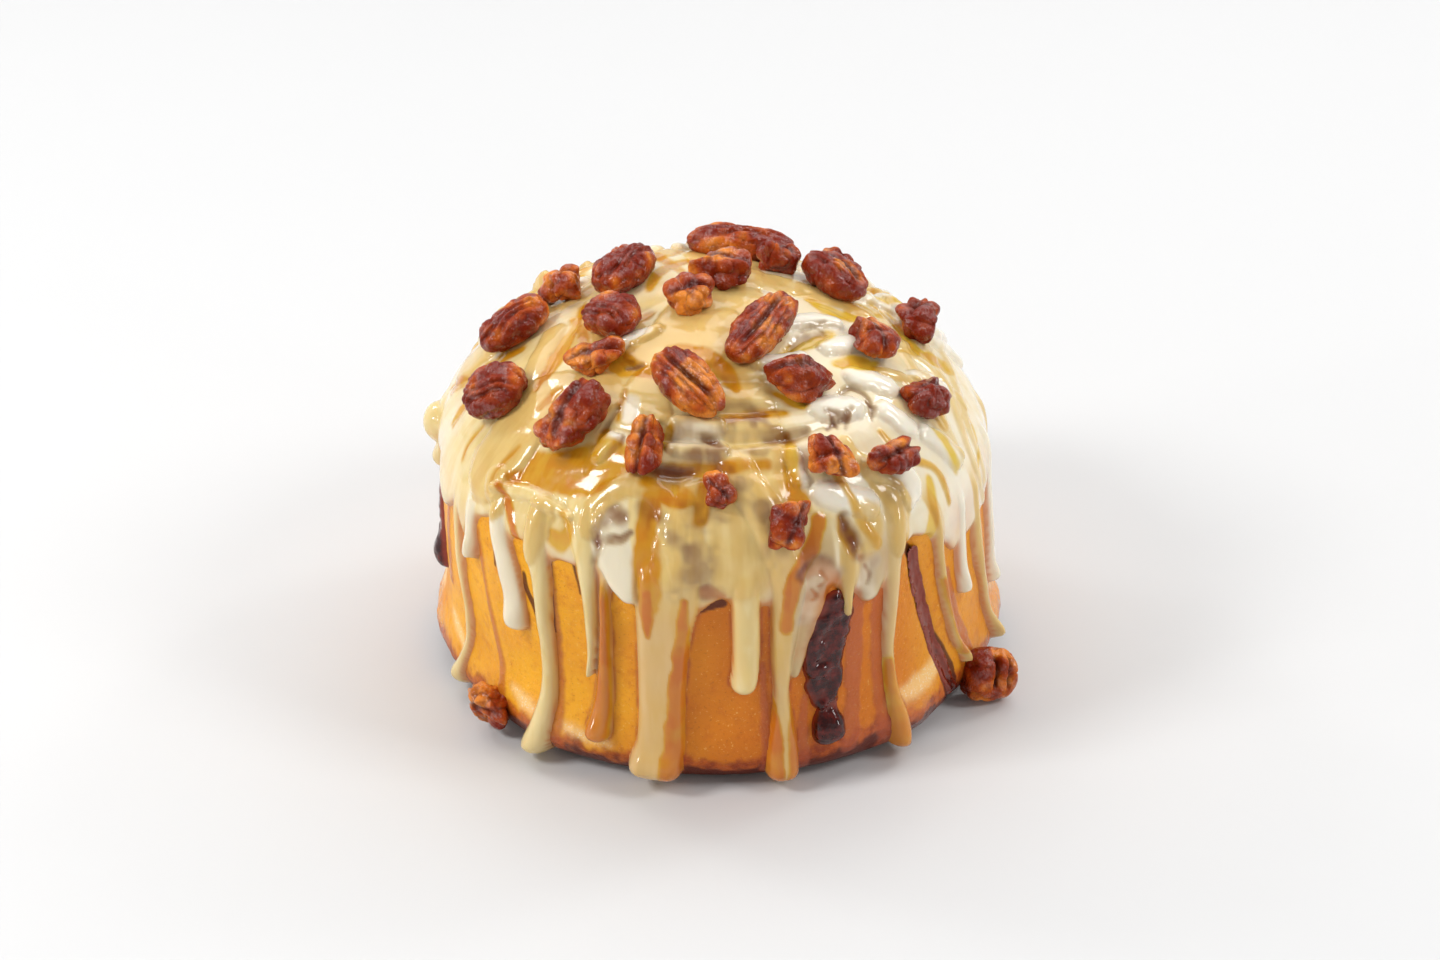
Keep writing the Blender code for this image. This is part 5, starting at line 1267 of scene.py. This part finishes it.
def chip(directions, reach, size, draw):
    """Snap flat faces off a nut and leave it knobby."""
    snapped = reach
    for _ in range(CHIP_COUNT):
        facing = draw.normal(size=3)
        facing /= np.linalg.norm(facing)
        support = np.linalg.norm(facing * size) * draw.uniform(*CHIP_RANGE)
        towards = np.maximum(directions @ facing, 0.001)
        snapped = -smooth_max(-snapped, -support / towards, CHIP_ROUNDING)
    lumps = draw.normal(size=(len(KNOBS), 3))
    lumps /= np.linalg.norm(lumps, axis=1)[:, None]
    scale = np.ones(len(directions))
    for direction, amount in zip(lumps, KNOBS):
        scale += amount * np.exp(KNOB_TIGHTNESS * (directions @ direction - 1))
    return snapped * scale


def creased_scale(along, across, top, draw):
    """A broken piece: one slanting crease along it and one across."""
    slant = draw.uniform(-CHUNK_SLANT, CHUNK_SLANT)
    depth, offset, width = LONG_CREASE
    scale = 1 - depth * top * cleft(across, slant * along + draw.uniform(-offset, offset), width)
    depth, offset, width = CROSS_CREASE
    return scale - depth * top * cleft(along, draw.uniform(-offset, offset) - slant * across, width)


def nut_points(kind, size, seed, directions):
    """A nut's surface around its own middle, long side along X, and how hollow it is."""
    draw = np.random.default_rng(seed)
    size = np.array(size) / 2
    squareness = BOXY_SQUARENESS if kind == RIDGED else SQUARENESS
    reach = (np.abs(directions / size) ** squareness).sum(axis=1) ** (-1 / squareness)
    if kind == CHUNK:
        reach = chip(directions, reach, size, draw)
    points = directions * reach[:, None]
    along = points[:, 0] / size[0]
    across = points[:, 1] / size[1]
    top = smooth_step(directions[:, 2], *NUT_TOP)
    if kind == CHUNK:
        scale = creased_scale(along, across, top, draw)
    elif kind == RIDGED:
        grooves = sum(cleft(along, position, RIDGE_HALF_WIDTH) for position in RIDGES)
        scale = 1 - CLEFT_DEPTH * top * grooves * smooth_step(across, *RIDGE_FOOT)
    else:
        depth = CLEFT_DEPTH if kind == HALF else BACK_CLEFT_DEPTH
        scale = half_scale(along, across, top, depth, draw)
    return points * scale[:, None], np.clip((1 - scale) / HOLLOW_FULL, 0, 1)


def creases(points, size, seed, sharpness):
    """Narrow creases where a noise crosses zero, 1 at their bottom."""
    return np.clip(1 - np.abs(noise(points, size, seed)) * sharpness, 0, 1) ** 2


def wrinkled(points, directions, kind, seed):
    """The grooves, folds and sugar crust of a nut, and how deep in them each point is."""
    groove_depth, lobe_rise = CHUNK_RELIEF if kind == CHUNK else HALF_RELIEF
    warp = np.stack([noise(points, WARP_SIZE, seed + added) for added in WARP_SEEDS], -1)
    long_way = (points + WRINKLE_WARP * warp) * np.array(WRINKLE_STRETCH)
    grooves = creases(long_way, WRINKLE_SIZE, seed + WRINKLE_SEED, WRINKLE_SHARPNESS)
    folds = creases(points + FOLD_WARP * warp, FOLD_SIZE, seed + FOLD_SEED, FOLD_SHARPNESS)
    patch = smooth_step(noise(points, PATCH_SIZE, seed + PATCH_SEED), *PATCH_BORDER)
    deep = np.maximum(grooves * patch, folds * (1 - patch) * FOLD_SHARE)
    sugar = rough(points, SUGAR_SIZE, seed + SUGAR_SEED, 2)
    lobes = np.abs(noise(points + LOBE_WARP * warp, LOBE_SIZE, seed + LOBE_SEED)) ** LOBE_POWER
    relief = -groove_depth * deep + SUGAR_HEIGHT * sugar + lobe_rise * (lobes - LOBE_LEVEL)
    valleys = (1 - smooth_step(lobes, *VALLEY_BORDER)) * lobe_rise / CHUNK_RELIEF[1]
    return points + directions * relief[:, None], np.maximum(deep * groove_depth / HALF_RELIEF[0], valleys)


def pecan(kind, centre, tilt, azimuth, size, heading, seed, finish):
    """A nut at centre, its back tilted up from level."""
    directions, faces = nut_directions(*NUT_GRID)
    shape, hollow = nut_points(kind, size, seed, directions)
    shape, folds = wrinkled(shape, directions, kind, seed)
    turn = math.radians(azimuth)
    level, upward = math.cos(tilt), math.sin(tilt)
    normal = np.array([level * math.sin(turn), -level * math.cos(turn), upward])
    side = np.array([math.cos(turn), math.sin(turn), 0.0])
    downhill = np.cross(side, normal)
    angle = math.radians(heading)
    long_way = downhill * math.cos(angle) + side * math.sin(angle)
    short_way = np.cross(normal, long_way)
    points = centre + shape @ np.stack([long_way, short_way, normal])
    points[:, 2] = np.maximum(points[:, 2], LOWEST_NUT)
    roast = bumps(points, ROAST_WAVES) + PALER.get(seed, 0)
    # Depth of folds and hollows gives the painted shade in them.
    values = {"fold_painted_shade": np.maximum(FOLD_PAINTED_SHADE * folds, hollow), "roast": roast}
    keep = np.ones(len(points), bool)
    return skin(f"pecan_{seed:02d}_glazed", faces, points, keep, values, finish)


def pecans(finish):
    """Every nut with its number, those on the icing first."""
    made = []
    for kind, azimuth, arc, length, width, height, heading, seed in PECANS:
        size = (length, width, height)
        centre = place(azimuth, arc, SKIN_GAP + NUT_DEPTH + height * (0.5 - NUT_SINK), True)
        level, upward = outward(np.array(float(arc)))
        tilt = math.atan2(upward, level)
        made.append((seed, pecan(kind, centre, tilt, azimuth, size, heading, seed, finish)))
    for kind, azimuth, facing, radius, middle, length, width, height, heading, seed in FOOT_PECANS:
        size = (length, width, height)
        turn = math.radians(azimuth)
        centre = np.array([radius * math.sin(turn), -radius * math.cos(turn), middle])
        made.append((seed, pecan(kind, centre, 0.0, facing, size, heading, seed, finish)))
    return made


def cinnamon_run(name, knots, finish):
    """One run of cinnamon filling, sticky and full of grains."""
    table = np.array(knots, float)
    columns, rows = CINNAMON_GRID
    beside, above, below = CINNAMON_MARGINS
    azimuths = np.arange(table[:, 0].min() - beside, table[:, 0].max() + beside, columns)
    arcs = np.arange(table[0, 1] - above, table[-1, 1] + below, rows)
    azimuth, arc = [part.ravel() for part in np.meshgrid(azimuths, arcs)]
    ground = place(azimuth, arc, 0.0, True)
    inside, half = within(knots, ground)
    inside = inside + bumps(ground, CINNAMON_EDGE)
    tip = table[-1, 1]
    swell = swelling(tip, arc, DROP_SWELL, DROP_PLACE, DROP_LENGTH)
    bulk = np.minimum(1, half / CINNAMON_DEPTH / 2)
    height = CINNAMON_DEPTH * bulk * swell * round_over(inside, np.minimum(half, CINNAMON_ROUNDING))
    grains = bumps(ground, CINNAMON_GRAINS) * bulk
    grains = grains * (1 - smooth_step(arc, *(tip - distance for distance in GRAIN_END)))
    height = height + smooth_step(inside, *GRAIN_BORDER) * grains
    points = place(azimuth, arc, height - seam(azimuth, arc) * (inside > 0), True)
    width = len(azimuths)
    faces = []
    for row in range(len(arcs) - 1):
        for column in range(width - 1):
            corner = row * width + column
            faces.append((corner, corner + width, corner + width + 1, corner + 1))
    values = {"thick": np.clip(height / CINNAMON_DEPTH, 0, 1)}
    return skin(f"{name}_filling", faces, points, inside > CINNAMON_KEPT, values, finish)


def new_material(name, values):
    """A node material whose shader has the given values in its sockets."""
    made = bpy.data.materials.new(name)
    made.use_nodes = True
    shader = made.node_tree.nodes["Principled BSDF"]
    for socket, value in values.items():
        shader.inputs[socket].default_value = value
    return made, made.node_tree, shader


def linear(red, green, blue):
    """A colour given as it shows on a screen, 0 to 255, in the shader's own values."""
    share = np.array([red, green, blue]) / 255
    return tuple(np.where(share <= 0.04045, share / 12.92, ((share + 0.055) / 1.055) ** 2.4)) + (1.0,)


def attribute(tree, name):
    """A value that is kept at the points of the mesh."""
    node = tree.nodes.new("ShaderNodeAttribute")
    node.attribute_name = name
    return node.outputs["Fac"]


def mixed(tree, factor, first, second, blend="MIX"):
    """A mix of two colours, each a socket or a colour."""
    node = tree.nodes.new("ShaderNodeMix")
    node.data_type = "RGBA"
    node.blend_type = blend
    for socket, value in ((node.inputs[0], factor), (node.inputs[6], first), (node.inputs[7], second)):
        if isinstance(value, bpy.types.NodeSocket):
            tree.links.new(value, socket)
        else:
            socket.default_value = value
    return node.outputs[2]


def node_sum(tree, first, second):
    """The sum of two values."""
    node = tree.nodes.new("ShaderNodeMath")
    node.operation = "ADD"
    tree.links.new(first, node.inputs[0])
    tree.links.new(second, node.inputs[1])
    return node.outputs[0]


def mapped(tree, value, low, high, to_low=0.0, to_high=1.0):
    """A value stretched from one range to another, smoothly."""
    node = tree.nodes.new("ShaderNodeMapRange")
    node.interpolation_type = "SMOOTHSTEP"
    for socket, number in zip(node.inputs[1:5], (low, high, to_low, to_high)):
        socket.default_value = number
    tree.links.new(value, node.inputs[0])
    return node.outputs[0]


def noise_map(tree, scale, detail, roughness):
    """Noise over the object's own space, in bumps to the metre."""
    place_node = tree.nodes.new("ShaderNodeTexCoord")
    node = tree.nodes.new("ShaderNodeTexNoise")
    for socket, value in (("Scale", scale), ("Detail", detail), ("Roughness", roughness)):
        node.inputs[socket].default_value = value
    tree.links.new(place_node.outputs["Object"], node.inputs["Vector"])
    return node.outputs["Fac"]


def value_of(tree, maps, name):
    """A value over the surface: one of the noise maps, or else an attribute of the mesh."""
    return noise_map(tree, *maps[name]) if name in maps else attribute(tree, name)


def tinted(tree, maps, tint):
    """A plain colour, or one that changes to a second colour as a value rises."""
    if not isinstance(tint[0], str):
        return linear(*tint)
    name, low, high, first, second = tint
    share = mapped(tree, value_of(tree, maps, name), low, high)
    return mixed(tree, share, linear(*first), linear(*second))


def washed(tree, maps, colour, washes):
    """A colour with washes of other colours laid over it."""
    for name, low, high, least, most, tint in washes:
        share = mapped(tree, value_of(tree, maps, name), low, high, least, most)
        colour = mixed(tree, share, colour, tinted(tree, maps, tint))
    return colour


def bumped(tree, shader, noise_values, distance, strength):
    """Fine relief on a shader's surface and on its coat."""
    node = tree.nodes.new("ShaderNodeBump")
    node.inputs["Strength"].default_value = strength
    node.inputs["Distance"].default_value = distance
    tree.links.new(noise_map(tree, *noise_values), node.inputs["Height"])
    for socket in ("Normal", "Coat Normal"):
        tree.links.new(node.outputs[0], shader.inputs[socket])


def painted(name, values, maps, tint, washes, bump):
    """A material with washes over a tint for its colour, and with fine relief."""
    made, tree, shader = new_material(name, values)
    colour = washed(tree, maps, tinted(tree, maps, tint), washes)
    tree.links.new(colour, shader.inputs["Base Color"])
    bumped(tree, shader, *bump)
    return made, tree, shader


def icing_finish():
    """Cream icing, whiter or more tan by place, with caramel and filling in it."""
    made, tree, shader = new_material("icing_glaze", ICING_SHADER)
    colour = tinted(tree, {}, CREAM_TINT)
    for kind, tint in ICING_TINTS.items():
        colour = mixed(tree, attribute(tree, kind), colour, tinted(tree, {}, tint))
    colour = washed(tree, {}, colour, CLEAR_WASHES)
    flow = mapped(tree, attribute(tree, "flow"), *CARAMEL_FLOW)
    caramel = mixed(tree, flow, CARAMEL_DARK, CARAMEL_LIGHT)
    right = mapped(tree, attribute(tree, "right"), *CARAMEL_RIGHT_RANGE)
    caramel = mixed(tree, right, caramel, CARAMEL_RIGHT)
    colour = mixed(tree, attribute(tree, CARAMEL), colour, caramel, "MULTIPLY")
    deep = mapped(tree, attribute(tree, CARAMEL), *CARAMEL_DEEP_RANGE)
    colour = mixed(tree, deep, colour, CARAMEL_DEEP, "MULTIPLY")
    tree.links.new(colour, shader.inputs["Base Color"])
    bumped(tree, shader, *ICING_BUMP)
    return made


def dough_finish():
    """Glazed golden crust with caramel films, darker at the foot and brown round the base, with painted
    shade and painted highlights.
    """
    made, tree, shader = painted(
        "dough_baked", DOUGH_SHADER, DOUGH_MAPS, DOUGH_TINT, DOUGH_WASHES, DOUGH_BUMP)
    swollen = attribute(tree, "swollen")
    tree.links.new(mapped(tree, swollen, *DOUGH_ROUGHNESS), shader.inputs["Roughness"])
    gloss = node_sum(tree, mapped(tree, swollen, *DOUGH_GLOSS), attribute(tree, "film_and_edge_shade"))
    tree.links.new(mapped(tree, gloss, *DOUGH_COAT), shader.inputs["Coat Weight"])
    return made


def cinnamon_finish():
    """Dark sticky filling, paler where it is thin."""
    return painted(
        "cinnamon_sticky", CINNAMON_SHADER, CINNAMON_MAPS, CINNAMON_TINT, CINNAMON_WASHES, CINNAMON_BUMP)[0]


def pecan_finish():
    """Glazed pecan: red brown with paler patches, painted shade in its folds, glossy in spots."""
    made, tree, shader = painted(
        "pecan_glazed", PECAN_SHADER, PECAN_MAPS, PECAN_TINT, PECAN_WASHES, PECAN_BUMP)
    glint = value_of(tree, PECAN_MAPS, "glint")
    tree.links.new(mapped(tree, glint, *PECAN_COAT), shader.inputs["Coat Weight"])
    return made


def camera():
    """The camera at the photograph's angle and framing."""
    angle = math.radians(CAMERA_ELEVATION)
    right = Vector((1, 0, 0))
    up = Vector((0, math.sin(angle), math.cos(angle)))
    back = Vector((0, -math.cos(angle), math.sin(angle)))
    aim = right * (PICTURE_SIZE[0] / 2 - AXIS_PIXEL[0]) * PIXEL_SIZE
    aim = aim + up * (AXIS_PIXEL[1] - PICTURE_SIZE[1] / 2) * PIXEL_SIZE
    lens = bpy.data.cameras.new("camera")
    lens.lens = CAMERA_LENS
    made = put_in_scene("camera", lens)
    made.location = (aim + back * CAMERA_DISTANCE) * MM
    made.rotation_mode = "QUATERNION"
    made.rotation_quaternion = (-back).to_track_quat("-Z", "Y")
    bpy.context.scene.camera = made


def light(name, azimuth, elevation, distance, size, power):
    """A square soft box that faces the bun."""
    turn, tilt = math.radians(azimuth), math.radians(elevation)
    towards = Vector((math.sin(turn) * math.cos(tilt), -math.cos(turn) * math.cos(tilt), math.sin(tilt)))
    lamp = bpy.data.lights.new(name, "AREA")
    lamp.size = size
    lamp.energy = power
    made = put_in_scene(name, lamp)
    made.location = towards * distance + Vector((0, 0, LIGHT_AIM))
    made.rotation_mode = "QUATERNION"
    made.rotation_quaternion = towards.to_track_quat("Z", "Y")


def sky():
    """Even light from all round, brightest near the horizon."""
    world = bpy.data.worlds.new("studio")
    world.use_nodes = True
    tree = world.node_tree
    glow = tree.nodes["Background"]
    glow.inputs["Color"].default_value = (1, 1, 1, 1)
    towards = tree.nodes.new("ShaderNodeTexCoord")
    parts = tree.nodes.new("ShaderNodeSeparateXYZ")
    tree.links.new(towards.outputs["Generated"], parts.inputs[0])
    tree.links.new(mapped(tree, parts.outputs["Z"], *SKY_RISE, *SKY_STRENGTH), glow.inputs["Strength"])
    bpy.context.scene.world = world
    bpy.context.scene.view_settings.view_transform = "Standard"


def studio():
    """Pale floor, even sky and soft lights."""
    sky()
    for values in LIGHTS:
        light(*values)
    made, tree, shader = new_material("floor_pale", {"Roughness": FLOOR_ROUGHNESS})
    shade = mixed(tree, mapped(tree, noise_map(tree, *FLOOR_NOISE), *FLOOR_RANGE), *FLOOR_GREYS)
    tree.links.new(shade, shader.inputs["Base Color"])
    mesh = bpy.data.meshes.new("floor")
    side = FLOOR_HALF_SIDE
    corners = [(-side, -side, 0), (side, -side, 0), (side, side, 0), (-side, side, 0)]
    mesh.from_pydata(corners, [], [(0, 1, 2, 3)])
    mesh.materials.append(made)
    floor = put_in_scene("floor", mesh)


def dress():
    """Makes every piece of the bun, each in place of its plain solid."""
    crust = dough(dough_finish())
    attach(crust, "root")
    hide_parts("dough")
    glaze = icing(icing_finish())
    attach(glaze, "root")
    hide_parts("icing")
    sticky = cinnamon_finish()
    for name, knots in CINNAMON.items():
        run = cinnamon_run(name, knots, sticky)
        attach(run, "root")
        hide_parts(name)
    for seed, nut in pecans(pecan_finish()):
        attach(nut, "root")
        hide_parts(f"pecan_{seed:02d}")


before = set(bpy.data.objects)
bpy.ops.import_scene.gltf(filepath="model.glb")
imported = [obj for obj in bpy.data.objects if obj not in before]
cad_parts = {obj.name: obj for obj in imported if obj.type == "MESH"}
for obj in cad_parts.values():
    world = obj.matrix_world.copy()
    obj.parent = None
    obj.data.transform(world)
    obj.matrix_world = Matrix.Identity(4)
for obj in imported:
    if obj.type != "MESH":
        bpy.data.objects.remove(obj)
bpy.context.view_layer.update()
studio()
camera()
dress()
